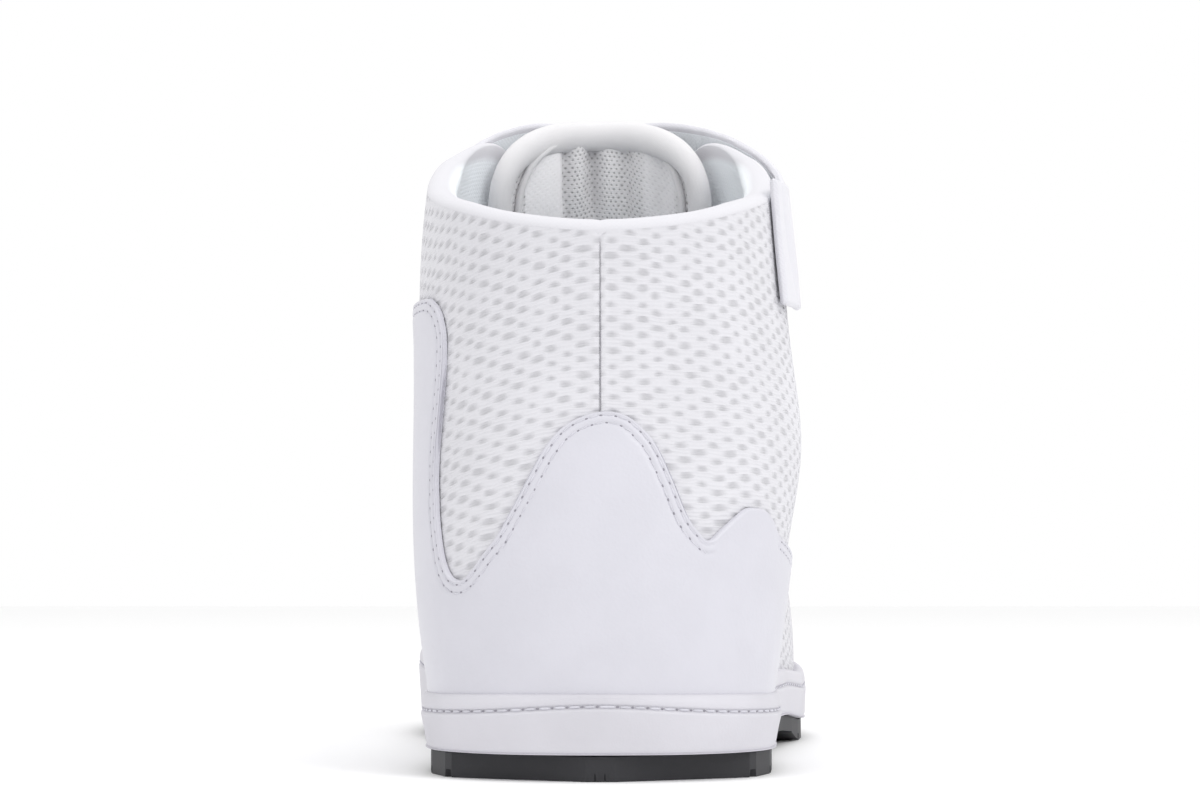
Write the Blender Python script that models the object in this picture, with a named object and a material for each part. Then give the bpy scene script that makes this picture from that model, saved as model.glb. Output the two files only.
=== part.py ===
"""High-top wrestling shoe for the right foot, standing empty on its sole.

The shoe is laid out with the toe towards +Y, the outer (lateral) side towards +X and the floor at Z = 0.
Every closed line around the foot is read at stations: 0 is the heel seam, TOE is the tip of the toe, and the
inner (medial) side counts back from TOE to the heel seam again.
"""
import math
from collections import namedtuple

import bmesh
import bpy
import numpy as np
from mathutils import Vector

MM = 0.001

# Driving sizes of the last and the upper
UPPER_LENGTH = 282 * MM
BALL_WIDTH = 93 * MM
HEEL_WIDTH = 68 * MM
HEEL_HEIGHT = 110.5 * MM
COLLAR_HEIGHT = 138 * MM
INSTEP_HEIGHT = 91 * MM
VAMP_HEIGHT = 60 * MM
COLLAR_WIDTH = 75 * MM
COLLAR_DEPTH = 96 * MM
THROAT_WIDTH = 27 * MM
THROAT_END = 192 * MM
UPPER_WALL = 2.0 * MM
COLLAR_PADDING = 4.5 * MM

# Driving sizes of the sole
OUTSOLE_THICKNESS = 5.0 * MM
LUG_DEPTH = 1.6 * MM
LUG_PITCH = 13.0 * MM
LUG_GROOVE = 2.4 * MM
BED_THICKNESS = 4.0 * MM
FOXING_WALL = 2.8 * MM
FOXING_HEIGHT = 17.5 * MM
STITCH_GROOVE_DROP = 3.6 * MM
STITCH_GROOVE_DEPTH = 0.7 * MM
INSOLE_THICKNESS = 3.0 * MM
TOE_SPRING = 8.0 * MM
ARCH_RISE = 2.2 * MM
OUTSOLE_INSET = 1.0 * MM

# Driving sizes of what is sewn or laced on
OVERLAY_THICKNESS = 1.2 * MM
TONGUE_TOP = 145 * MM
TONGUE_WIDTH = 51 * MM
TONGUE_THICKNESS = 4.2 * MM
STRAP_WIDTH = 27 * MM
STRAP_THICKNESS = 1.7 * MM
STRAP_FRONT_HEIGHT = 131.5 * MM
STRAP_END_HEIGHT = 111.5 * MM
STRAP_LIFT = 0.5 * MM
STRAP_START = math.radians(-34)
STRAP_FREE_END = math.radians(114)
EYELETS = 6
EYELET_RADIUS = 3.4 * MM
EYELET_HOLE = 1.9 * MM
EYELET_THICKNESS = 0.7 * MM
EYESTAY_WIDTH = 14 * MM
LACE_WIDTH = 5.0 * MM
LACE_THICKNESS = 1.4 * MM
LACE_RISE = 1.4 * MM

# Clearance between pieces that touch on the real shoe
GAP = 0.3 * MM
SEWN_GAP = 0.7 * MM

# Height above the floor where the upper stands in the cup of the sole
BED_TOP = OUTSOLE_THICKNESS + GAP + BED_THICKNESS

# One row for each station from the heel seam to the toe. y is a share of UPPER_LENGTH, outer and inner are
# shares of the width there, and the last two are the height of the sole's wall on each side as a share of
# FOXING_HEIGHT.
Feather = namedtuple("Feather", "y outer inner foxing_outer foxing_inner")
FEATHER = [
    Feather(0.000, 0.000, 0.000, 1.00, 1.00),
    Feather(0.014, 0.275, 0.275, 0.99, 0.99),
    Feather(0.062, 0.455, 0.450, 0.97, 0.97),
    Feather(0.150, 0.505, 0.495, 0.95, 0.96),
    Feather(0.262, 0.480, 0.445, 0.92, 0.98),
    Feather(0.362, 0.462, 0.385, 0.91, 1.03),
    Feather(0.460, 0.478, 0.380, 0.92, 1.10),
    Feather(0.560, 0.512, 0.415, 0.96, 1.17),
    Feather(0.660, 0.526, 0.456, 1.02, 1.23),
    Feather(0.760, 0.498, 0.468, 1.09, 1.27),
    Feather(0.855, 0.408, 0.432, 1.17, 1.29),
    Feather(0.932, 0.270, 0.345, 1.24, 1.31),
    Feather(0.983, 0.105, 0.220, 1.30, 1.32),
    Feather(1.000, -0.065, 0.065, 1.32, 1.32),
]
TOE = len(FEATHER) - 1
AROUND = 2 * TOE

# The top edge of the upper, a row for each station: the collar to its front corner, then the throat's edge.
# y is a share of COLLAR_DEPTH up to the corner and then of the way to THROAT_END, x is a share of the half
# width of the collar or throat, and the height is a share of the size that it names.
Topline = namedtuple("Topline", "y x height share")
CORNER = 5
TOPLINE = [
    Topline(0.050, 0.000, HEEL_HEIGHT, 1.000),
    Topline(0.085, 0.420, HEEL_HEIGHT, 1.013),
    Topline(0.195, 0.770, HEEL_HEIGHT, 1.047),
    Topline(0.450, 0.990, COLLAR_HEIGHT, 0.885),
    Topline(0.780, 0.930, COLLAR_HEIGHT, 0.965),
    Topline(1.000, 0.620, COLLAR_HEIGHT, 1.000),
    Topline(0.155, 1.080, COLLAR_HEIGHT, 0.800),
    Topline(0.395, 1.000, INSTEP_HEIGHT, 1.000),
    Topline(0.660, 0.960, INSTEP_HEIGHT, 0.835),
    Topline(0.850, 0.850, VAMP_HEIGHT, 1.100),
    Topline(0.935, 0.640, VAMP_HEIGHT, 1.045),
    Topline(0.975, 0.420, VAMP_HEIGHT, 1.017),
    Topline(0.994, 0.200, VAMP_HEIGHT, 1.004),
    Topline(1.000, 0.000, VAMP_HEIGHT, 1.000),
]

# How each section leaves the feather edge and reaches the top edge, as shares of its own height: out of the
# foot and up from the sole, then out, forward and up from the top edge, which sets the arch of the section.
Handle = namedtuple("Handle", "low_out low_up high_out high_forward high_up")
HANDLE = [
    Handle(0.09, 0.34, -0.05, 0.00, -0.27),
    Handle(0.09, 0.34, -0.04, 0.00, -0.27),
    Handle(0.08, 0.34, -0.01, 0.00, -0.27),
    Handle(0.07, 0.34, 0.035, -0.01, -0.29),
    Handle(0.06, 0.34, 0.06, -0.02, -0.29),
    Handle(0.06, 0.34, 0.08, -0.05, -0.25),
    Handle(0.03, 0.38, 0.22, 0.04, -0.12),
    Handle(0.03, 0.42, 0.30, 0.07, -0.07),
    Handle(0.04, 0.50, 0.40, 0.12, -0.02),
    Handle(0.07, 0.56, 0.52, 0.34, -0.02),
    Handle(0.09, 0.60, 0.62, 0.78, -0.06),
    Handle(0.11, 0.62, 0.50, 1.20, -0.10),
    Handle(0.12, 0.62, 0.26, 1.46, -0.12),
    Handle(0.12, 0.62, 0.20, 1.49, -0.12),
]

# Soft swellings and hollows of the upper: where around and how far up, how wide each way, and how deep.
Swell = namedtuple("Swell", "station level around up depth")
SWELLS = [
    Swell(3.0, 0.50, 1.3, 0.15, 2.6 * MM),
    Swell(AROUND - 3.0, 0.62, 1.2, 0.18, -0.4 * MM),
    Swell(AROUND - 4.4, 0.50, 1.4, 0.34, -3.0 * MM),
    Swell(0.0, 0.70, 1.2, 0.16, -1.6 * MM),
    Swell(AROUND, 0.70, 1.2, 0.16, -1.6 * MM),
    Swell(AROUND - 6.0, 0.25, 1.2, 0.18, -1.4 * MM),
]


def smooth_step(value, low, high):
    share = np.clip((np.asarray(value, float) - low) / (high - low), 0, 1)
    return share * share * (3 - 2 * share)


def ground_rise(y):
    """How far the sole's underside is off the floor: none at heel and ball, some at the arch and the toe."""
    share = np.asarray(y, float) / UPPER_LENGTH
    arch = smooth_step(share, 0.27, 0.40) * (1 - smooth_step(share, 0.46, 0.58))
    toe = np.clip((share - 0.76) / 0.24, 0, None)
    return ARCH_RISE * arch + TOE_SPRING * toe ** 1.8


def around(rows, at):
    """Reads a closed smooth line through the rows at float stations."""
    rows = np.asarray(rows, float)
    at = np.asarray(at, float)
    first = np.floor(at).astype(int)
    part = (at - first)[..., None]
    before, start, end, after = (rows[(first + k) % len(rows)] for k in (-1, 0, 1, 2))
    slope_in, slope_out = (end - before) / 2, (after - start) / 2
    return (
        start * (2 * part ** 3 - 3 * part ** 2 + 1)
        + slope_in * (part ** 3 - 2 * part ** 2 + part)
        + end * (3 * part ** 2 - 2 * part ** 3)
        + slope_out * (part ** 3 - part ** 2)
    )


def both_sides(outer, inner):
    """A closed list of rows: the outer side from the heel to the toe, then the inner side back."""
    return np.array(list(outer) + list(inner)[TOE - 1:0:-1], float)


def local_width(share):
    return HEEL_WIDTH + (BALL_WIDTH - HEEL_WIDTH) * float(smooth_step(share, 0.15, 0.62))


def feather_rows():
    """The line where the upper meets the sole, seen from above."""
    def side(sign):
        for row in FEATHER:
            share = row.outer if sign > 0 else row.inner
            yield sign * share * local_width(row.y), row.y * UPPER_LENGTH, BED_TOP + 1.6 * GAP
    rows = both_sides(side(1), side(-1))
    rows[:, 2] += ground_rise(rows[:, 1])
    return rows


def topline_rows():
    def side(sign):
        for index, row in enumerate(TOPLINE):
            collar = index <= CORNER
            y = row.y * COLLAR_DEPTH if collar else COLLAR_DEPTH + row.y * (THROAT_END - COLLAR_DEPTH)
            half = COLLAR_WIDTH / 2 if collar else THROAT_WIDTH / 2
            yield sign * row.x * half, y, row.height * row.share
    return both_sides(side(1), side(-1))


FEATHER_ROWS = feather_rows()
TOPLINE_ROWS = topline_rows()
HANDLE_ROWS = both_sides(HANDLE, HANDLE)


def outline_normal(station):
    """Level direction out of the foot, at right angles to the feather line."""
    along = around(FEATHER_ROWS, np.asarray(station) + 0.05) - around(FEATHER_ROWS, np.asarray(station) - 0.05)
    out = np.stack([along[..., 1], -along[..., 0], np.zeros(along.shape[:-1])], -1)
    return out / np.linalg.norm(out, axis=-1, keepdims=True)


def upper_form(station, level):
    """A point of the upper's outer face. level runs from 0 at the sole to 1 at the top edge."""
    station, level = np.broadcast_arrays(np.asarray(station, float), np.asarray(level, float))
    foot, top, shape = (around(rows, station) for rows in (FEATHER_ROWS, TOPLINE_ROWS, HANDLE_ROWS))
    height = (top[..., 2] - foot[..., 2])[..., None]
    out = outline_normal(station)
    up = np.array([0, 0, 1.0])
    ahead = np.array([0, 1.0, 0])
    low = foot + height * (out * shape[..., 0:1] + up * shape[..., 1:2])
    high = top + height * (out * shape[..., 2:3] + ahead * shape[..., 3:4] + up * shape[..., 4:5])
    part = level[..., None]
    rest = 1 - part
    point = rest ** 3 * foot + 3 * rest ** 2 * part * low + 3 * rest * part ** 2 * high + part ** 3 * top
    for swell in SWELLS:
        reach = ((station - swell.station) / swell.around) ** 2 + ((level - swell.level) / swell.up) ** 2
        point = point + out * (swell.depth * np.exp(-reach))[..., None]
    return point


def upper_normal(station, level):
    step = 0.01
    low, high = np.clip(np.asarray(level) - step, 0, 1), np.clip(np.asarray(level) + step, 0, 1)
    along = upper_form(np.asarray(station) + step, level) - upper_form(np.asarray(station) - step, level)
    rise = upper_form(station, high) - upper_form(station, low)
    normal = np.cross(along, rise)
    return normal / np.linalg.norm(normal, axis=-1, keepdims=True)


def offset_form(station, level, out):
    """The upper's form moved out of the foot by a distance, or into it by a negative one."""
    return upper_form(station, level) + upper_normal(station, level) * np.asarray(out)[..., None]


def level_at_height(station, height):
    """How far up a section, from 0 to 1, it reaches this height above the floor."""
    low, high = np.zeros(np.shape(station)), np.ones(np.shape(station))
    for _ in range(24):
        middle = (low + high) / 2
        below = upper_form(station, middle)[..., 2] < height
        low, high = np.where(below, middle, low), np.where(below, high, middle)
    return (low + high) / 2


def level_from_top(station, width):
    """How far up a section, from 0 to 1, it is this distance below the top edge, measured over the form."""
    levels = np.linspace(1, 0, 60)
    grid = upper_form(np.asarray(station)[:, None], levels[None, :])
    lengths = np.cumsum(np.linalg.norm(np.diff(grid, axis=1), axis=2), axis=1)
    return np.array([np.interp(width, np.append(0, run), levels) for run in lengths])


def upper_wall(station, level):
    """Wall of the upper: the lasted shell, thickened where the collar is padded."""
    from_heel = np.minimum(station, AROUND - station)
    padded = smooth_step(level, 0.62, 0.90) * (1 - smooth_step(from_heel, CORNER - 1.6, CORNER - 0.3))
    return UPPER_WALL + COLLAR_PADDING * padded


def add_object(name, mesh_maker, material, parent):
    mesh = bpy.data.meshes.new(name)
    shape = bmesh.new()
    mesh_maker(shape)
    shape.to_mesh(mesh)
    shape.free()
    mesh.shade_smooth()
    mesh.set_sharp_from_angle(angle=math.radians(40))
    mesh.materials.append(material)
    piece = bpy.data.objects.new(name, mesh)
    bpy.context.scene.collection.objects.link(piece)
    piece.parent = parent
    return piece


def add_quads(shape, grid, closed_rows, closed_columns, flip=False):
    """Skins a grid of bmesh vertices with quads and returns nothing."""
    rows, columns = len(grid), len(grid[0])
    for row in range(rows if closed_rows else rows - 1):
        for column in range(columns if closed_columns else columns - 1):
            corners = [
                grid[row][column],
                grid[row][(column + 1) % columns],
                grid[(row + 1) % rows][(column + 1) % columns],
                grid[(row + 1) % rows][column],
            ]
            shape.faces.new(corners[::-1] if flip else corners)


def vertex_grid(shape, points):
    return [[shape.verts.new(Vector(point)) for point in row] for row in points]


def ring_solid(rings):
    """A closed wall around the foot from rings of points: outer face, rim, inner face and foot."""
    def make(shape):
        add_quads(shape, vertex_grid(shape, rings), True, True)
    return make


def patch_solid(outer, inner):
    """A closed plate from an outer and an inner grid of points, with rows up and columns along."""
    def make(shape):
        out, back = vertex_grid(shape, outer), vertex_grid(shape, inner)
        add_quads(shape, out, False, False)
        add_quads(shape, back, False, False, flip=True)
        last = len(out) - 1
        add_quads(shape, [back[0], out[0]], False, False)
        add_quads(shape, [out[last], back[last]], False, False)
        add_quads(shape, [[row[0] for row in out], [row[0] for row in back]], False, False)
        add_quads(shape, [[row[-1] for row in back], [row[-1] for row in out]], False, False)
    return make


def across_rows(ring):
    """Pairs a ring's outer and inner points from the heel to the toe."""
    half = len(ring) // 2
    return [(ring[index], ring[-index % len(ring)]) for index in range(half + 1)]


def layer_solid(rings):
    """A closed layer of the sole from rings of points, bottom first. Both ends are filled straight across."""
    def make(shape):
        grid = vertex_grid(shape, rings)
        add_quads(shape, grid, False, True)
        for ring, up in ((grid[0], False), (grid[-1], True)):
            pairs = across_rows(ring)
            for (outer, inner), (outer_next, inner_next) in zip(pairs, pairs[1:]):
                corners = [outer, outer_next, inner_next, inner]
                face = [corner for index, corner in enumerate(corners) if corner not in corners[:index]]
                shape.faces.new(face if up else face[::-1])
    return make


def new_material(name, color, roughness):
    material = bpy.data.materials.new(name)
    material.use_nodes = True
    shader = material.node_tree.nodes["Principled BSDF"]
    shader.inputs["Base Color"].default_value = (*color, 1)
    shader.inputs["Roughness"].default_value = roughness
    shader.inputs["Metallic"].default_value = 0
    return material


def sole_ring(station, out, height):
    """A ring around the sole, a distance outside the feather line and a height above its underside."""
    points = around(FEATHER_ROWS, station) + outline_normal(station) * np.asarray(out)[..., None]
    points[..., 2] = ground_rise(points[..., 1]) + height
    return points


def add_upper(material, parent):
    columns, levels = 3 * AROUND, 13
    station = np.arange(columns) / 3
    rings = []
    for level in np.linspace(0, 1, levels):
        rings.append(upper_form(station, np.full(columns, level)))
    top = np.ones(columns)
    half_wall = upper_wall(station, top) / 2
    ridge = offset_form(station, top, -half_wall)
    lift = upper_form(station, top) - upper_form(station, top - 0.02)
    lift /= np.linalg.norm(lift, axis=1, keepdims=True)
    rings.append(ridge + lift * (half_wall * 0.8)[:, None])
    for level in np.linspace(1, 0, levels):
        flat = np.full(columns, level)
        ring = offset_form(station, flat, -upper_wall(station, flat))
        if level == 0:
            ring[:, 2] = rings[0][:, 2]
        rings.append(ring)
    return add_object("upper", ring_solid(rings), material, parent)


def overlay_grids(station, low, high, rows):
    """Outer and inner grids of a sewn-on panel between two levels of each section."""
    share = np.linspace(0, 1, rows)[:, None]
    level = low[None, :] + (high - low)[None, :] * share
    stations = np.broadcast_to(station[None, :], level.shape)
    inner = offset_form(stations, level, np.full(level.shape, SEWN_GAP))
    outer = offset_form(stations, level, np.full(level.shape, SEWN_GAP + OVERLAY_THICKNESS))
    return outer, inner


# The top edge of the heel wrap: stations from the inner side (negative) round the heel to the outer side,
# with the edge's height as a share of HEEL_HEIGHT.
EdgePoint = namedtuple("EdgePoint", "station height")
WRAP_EDGE = [
    EdgePoint(-5.60, 0.500),
    EdgePoint(-5.10, 0.660),
    EdgePoint(-4.40, 0.820),
    EdgePoint(-3.40, 0.885),
    EdgePoint(-2.66, 0.897),
    EdgePoint(-2.40, 0.884),
    EdgePoint(-2.23, 0.850),
    EdgePoint(-2.13, 0.790),
    EdgePoint(-2.08, 0.610),
    EdgePoint(-1.98, 0.505),
    EdgePoint(-1.88, 0.440),
    EdgePoint(-1.77, 0.394),
    EdgePoint(-1.64, 0.368),
    EdgePoint(-1.48, 0.363),
    EdgePoint(-1.34, 0.382),
    EdgePoint(-1.20, 0.412),
    EdgePoint(-1.04, 0.446),
    EdgePoint(-0.90, 0.495),
    EdgePoint(-0.74, 0.556),
    EdgePoint(-0.62, 0.598),
    EdgePoint(-0.46, 0.634),
    EdgePoint(-0.24, 0.657),
    EdgePoint(0.03, 0.668),
    EdgePoint(0.28, 0.662),
    EdgePoint(0.46, 0.641),
    EdgePoint(0.62, 0.606),
    EdgePoint(0.76, 0.547),
    EdgePoint(0.89, 0.480),
    EdgePoint(1.00, 0.450),
    EdgePoint(1.12, 0.434),
    EdgePoint(1.30, 0.456),
    EdgePoint(1.58, 0.489),
    EdgePoint(1.72, 0.495),
    EdgePoint(1.90, 0.491),
    EdgePoint(2.03, 0.474),
    EdgePoint(2.18, 0.447),
    EdgePoint(2.50, 0.430),
    EdgePoint(3.10, 0.405),
    EdgePoint(3.90, 0.365),
    EdgePoint(4.70, 0.330),
    EdgePoint(5.60, 0.300),
]
# The toe cap's edge, from the outer ball round the toe to the inner ball, as shares of VAMP_HEIGHT.
CAP_EDGE = [
    EdgePoint(8.6, 0.42),
    EdgePoint(9.4, 0.56),
    EdgePoint(10.2, 0.70),
    EdgePoint(11.4, 0.79),
    EdgePoint(13.0, 0.815),
    EdgePoint(14.6, 0.79),
    EdgePoint(15.8, 0.70),
    EdgePoint(16.6, 0.56),
    EdgePoint(17.4, 0.42),
]


def read_edge(edge, station):
    return np.interp(station, [point.station for point in edge], [point.height for point in edge])


def edge_stations(edge):
    """Every point of the edge, with more between them where they are far apart."""
    station = [edge[0].station]
    for point in edge[1:]:
        count = math.ceil((point.station - station[-1]) / 0.40)
        station += list(np.linspace(station[-1], point.station, count + 1)[1:])
    return np.array(station)


def foxing_height(station):
    shares = both_sides([(row.foxing_outer,) for row in FEATHER], [(row.foxing_inner,) for row in FEATHER])
    return FOXING_HEIGHT * around(shares, station)[..., 0]


def above_foxing(station):
    """The level where a panel starts, just above the sole's wall."""
    edge = foxing_height(station) + ground_rise(around(FEATHER_ROWS, station)[..., 1])
    return level_at_height(station % AROUND, edge + 3 * GAP)


def add_heel_wrap(material, parent):
    station = edge_stations(WRAP_EDGE)
    high = level_at_height(station % AROUND, read_edge(WRAP_EDGE, station) * HEEL_HEIGHT)
    outer, inner = overlay_grids(station % AROUND, above_foxing(station), high, 5)
    return add_object("heel_wrap", patch_solid(outer, inner), material, parent)


def add_toe_cap(material, parent):
    station = np.linspace(CAP_EDGE[0].station, CAP_EDGE[-1].station, 27)
    high = level_at_height(station, read_edge(CAP_EDGE, station) * VAMP_HEIGHT)
    outer, inner = overlay_grids(station, above_foxing(station), high, 5)
    return add_object("toe_cap", patch_solid(outer, inner), material, parent)


def eyestay_stations(side):
    """Stations of one eyestay, from under the strap down to the throat's end."""
    along = np.linspace(CORNER + 0.40, TOE - 0.3, 24)
    return along if side > 0 else AROUND - along


def add_eyestay(name, side, material, parent):
    station = eyestay_stations(side)
    if side < 0:
        station = station[::-1]
    low = level_from_top(station, EYESTAY_WIDTH)
    outer, inner = overlay_grids(station, low, np.full(len(station), 0.985), 3)
    return add_object(name, patch_solid(outer, inner), material, parent)


def eyelet_places(side):
    """Centre, outward normal and direction along the throat for each eyelet of one side."""
    spread = np.linspace(COLLAR_DEPTH * 1.18, THROAT_END - EYESTAY_WIDTH * 0.45, EYELETS)
    stations = np.linspace(CORNER, TOE, 80)
    station = np.interp(spread, around(TOPLINE_ROWS, stations)[:, 1], stations)
    station = station if side > 0 else AROUND - station
    level = level_from_top(station, EYESTAY_WIDTH * 0.45)
    centre = offset_form(station, level, np.full(len(station), SEWN_GAP + OVERLAY_THICKNESS + 2 * GAP))
    normal = upper_normal(station, level)
    ahead = offset_form(station + side * 0.05, level, 0 * level) - offset_form(station, level, 0 * level)
    ahead /= np.linalg.norm(ahead, axis=1, keepdims=True)
    return centre, normal, ahead


def add_eyelet(name, centre, normal, ahead, material, parent):
    side = np.cross(normal, ahead)
    rings = []
    for radius, height in (
        (EYELET_RADIUS, 0.1 * EYELET_THICKNESS),
        (EYELET_HOLE, 0.1 * EYELET_THICKNESS),
        (EYELET_HOLE, EYELET_THICKNESS),
        (EYELET_RADIUS * 0.8, EYELET_THICKNESS),
    ):
        turn = np.linspace(0, 2 * math.pi, 8, endpoint=False)[:, None]
        ring = centre + radius * (np.cos(turn) * ahead + np.sin(turn) * side) + normal * height
        rings.append(ring)
    return add_object(name, ring_solid(rings[::-1]), material, parent)


# The tongue's middle line under the laces, a row for each section from the vamp to its top. y is a share of the
# way from COLLAR_DEPTH to THROAT_END, z is a share of TONGUE_TOP, the half width and how far the sides fall back
# are shares of TONGUE_WIDTH.
TongueRow = namedtuple("TongueRow", "y z half_width fall")
TONGUE = [
    TongueRow(1.116, 0.3900, 0.240, 0.06),
    TongueRow(0.980, 0.3945, 0.300, 0.06),
    TongueRow(0.850, 0.4386, 0.380, 0.06),
    TongueRow(0.660, 0.5070, 0.400, 0.08),
    TongueRow(0.394, 0.6100, 0.420, 0.12),
    TongueRow(0.150, 0.7550, 0.450, 0.20),
    TongueRow(0.080, 0.8500, 0.485, 0.28),
    TongueRow(0.050, 0.9200, 0.480, 0.30),
    TongueRow(0.038, 0.9680, 0.385, 0.22),
    TongueRow(0.036, 1.0000, 0.150, 0.06),
]


def open_curve(rows, count):
    """Reads a smooth open line through the rows at evenly spread places."""
    rows = np.asarray(rows, float)
    padded = np.vstack([2 * rows[0] - rows[1], rows, 2 * rows[-1] - rows[-2], rows[-1]])
    at = np.linspace(1, len(rows), count)
    at[-1] -= 1e-6
    return around(padded, at)


def tongue_sections(count):
    rows = []
    for row in TONGUE:
        y = COLLAR_DEPTH + row.y * (THROAT_END - COLLAR_DEPTH)
        rows.append((y, row.z * TONGUE_TOP, row.half_width * TONGUE_WIDTH, row.fall * TONGUE_WIDTH))
    return open_curve(rows, count)


def tongue_grids(count):
    """The tongue's front face and back face as grids of points."""
    sections = tongue_sections(count)
    across = np.linspace(-1, 1, 9)
    ahead = np.gradient(sections[:, :2], axis=0)
    ahead /= np.linalg.norm(ahead, axis=1, keepdims=True)
    front, back = [], []
    for (y, z, half, fall), (ahead_y, ahead_z) in zip(sections, ahead):
        for grid, depth in ((front, 0), (back, TONGUE_THICKNESS)):
            drop = fall * across ** 2 + depth * (1 - 0.45 * across ** 4)
            grid.append(np.stack([across * half, y - ahead_z * drop, z + ahead_y * drop], 1))
    return front, back


def add_tongue(material, parent):
    front, back = tongue_grids(18)
    return add_object("tongue", patch_solid(back, front), material, parent)


def add_cupsole(material, parent):
    columns = 3 * AROUND
    station = np.arange(columns) / 3
    top = foxing_height(station)
    base = np.full(columns, OUTSOLE_THICKNESS + GAP)
    wall = GAP + FOXING_WALL
    lip = top - STITCH_GROOVE_DROP
    face = around(FEATHER_ROWS, station)
    hug = upper_form(station, level_at_height(station, top + ground_rise(face[:, 1]))) - face
    lean = np.sum(hug * outline_normal(station), axis=1)
    rings = [
        sole_ring(station, np.full(columns, wall - 1.2 * MM), base),
        sole_ring(station, np.full(columns, wall), base + 1.2 * MM),
        sole_ring(station, wall + lean * 0.5, (base + lip) / 2),
        sole_ring(station, wall + lean * 0.9 - 0.2 * MM, lip - 0.8 * MM),
        sole_ring(station, wall + lean * 0.9 - STITCH_GROOVE_DEPTH, lip),
        sole_ring(station, wall + lean - 0.3 * MM, lip + 0.8 * MM),
        sole_ring(station, wall + lean - 0.8 * MM, top - 0.6 * MM),
        sole_ring(station, GAP * 2 + lean, top),
    ]
    for share in (0.66, 0.33, 0.0):
        height = BED_TOP + (top - BED_TOP) * share
        level = level_at_height(station, height + ground_rise(face[:, 1]))
        clear = np.sum((upper_form(station, level) - face) * outline_normal(station), axis=1)
        rings.append(sole_ring(station, 2 * GAP + clear, height))
    return add_object("cupsole", layer_solid(rings), material, parent)


def add_insole(material, parent):
    columns = 3 * AROUND
    station = np.arange(columns) / 3
    inset = np.full(columns, -(UPPER_WALL + 3 * GAP))
    rings = [
        sole_ring(station, inset, np.full(columns, BED_TOP + 1.6 * GAP)),
        sole_ring(station, inset, np.full(columns, BED_TOP + 1.6 * GAP + INSOLE_THICKNESS)),
    ]
    return add_object("insole", layer_solid(rings), material, parent)


def lug_stations():
    """Places along the sole where a cross groove starts, is deep, and ends."""
    places = []
    y = LUG_PITCH
    while y < UPPER_LENGTH - LUG_PITCH * 0.6:
        places += [(y, 0), (y + 0.3 * MM, 1), (y + LUG_GROOVE - 0.3 * MM, 1), (y + LUG_GROOVE, 0)]
        y += LUG_PITCH
    return places


def outline_at(y, side):
    """Station of the feather line at a distance from the heel."""
    station = np.linspace(0, TOE, 400)
    return float(np.interp(y, around(FEATHER_ROWS, station if side > 0 else -station)[:, 1], station)) * side


def add_outsole(material, parent):
    out = FOXING_WALL + GAP - OUTSOLE_INSET
    grooves = (-0.37, -0.30, 0.30, 0.37)
    edge = 0.012
    across = [-1.0, 1.0]
    for place in grooves:
        across += [place - edge, place + edge]
    across = np.array(sorted(across))
    deep_across = (np.abs(across) > 0.30) & (np.abs(across) < 0.37)
    ends = [(-out * 0.92, 0), (0.0, 0), (UPPER_LENGTH, 0), (UPPER_LENGTH + out * 0.9, 0)]
    top_rows, low_rows = [], []
    for y, groove in sorted(ends + lug_stations()):
        inside = min(max(y, 0.35 * MM), UPPER_LENGTH - 0.35 * MM)
        points = [sole_ring(np.array(outline_at(inside, side)), out, 0.0) for side in (1, -1)]
        right, left = points[0][0], points[1][0]
        taper = 0.45 if y in (ends[0][0], ends[-1][0]) else 1.0
        middle, half = (right + left) / 2, (right - left) / 2 * taper
        rise = float(ground_rise(y))
        arch = float(smooth_step(y / UPPER_LENGTH, 0.30, 0.36) * (1 - smooth_step(y / UPPER_LENGTH, 0.50, 0.56)))
        cut = LUG_DEPTH * np.maximum(np.where(deep_across, 1.0, float(groove)), arch)
        cut[0] = cut[-1] = LUG_DEPTH * max(groove, arch)
        x = middle + across * half
        low_rows.append(np.stack([x, np.full(len(x), y), rise + cut], 1))
        top_rows.append(np.stack([x, np.full(len(x), y), np.full(len(x), rise + OUTSOLE_THICKNESS)], 1))
    low_rows, top_rows = np.array(low_rows), np.array(top_rows)

    def make(shape):
        low = vertex_grid(shape, low_rows)
        top = vertex_grid(shape, top_rows[:, [0, -1]])
        add_quads(shape, low, False, False, flip=True)
        add_quads(shape, top, False, False)
        add_quads(shape, [[row[0] for row in low], [row[0] for row in top]], False, False, flip=True)
        add_quads(shape, [[row[-1] for row in low], [row[-1] for row in top]], False, False)
        shape.faces.new(low[0] + top[0][::-1])
        shape.faces.new((low[-1] + top[-1][::-1])[::-1])
    return add_object("outsole", make, material, parent)


def strap_height(turn):
    """Height of the strap's middle line. turn is the angle from straight ahead, outer side positive."""
    low = np.where(turn < 0, math.radians(70), math.radians(92))
    fall = smooth_step(np.abs(turn), math.radians(15), low)
    return STRAP_FRONT_HEIGHT - (STRAP_FRONT_HEIGHT - STRAP_END_HEIGHT) * fall


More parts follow.
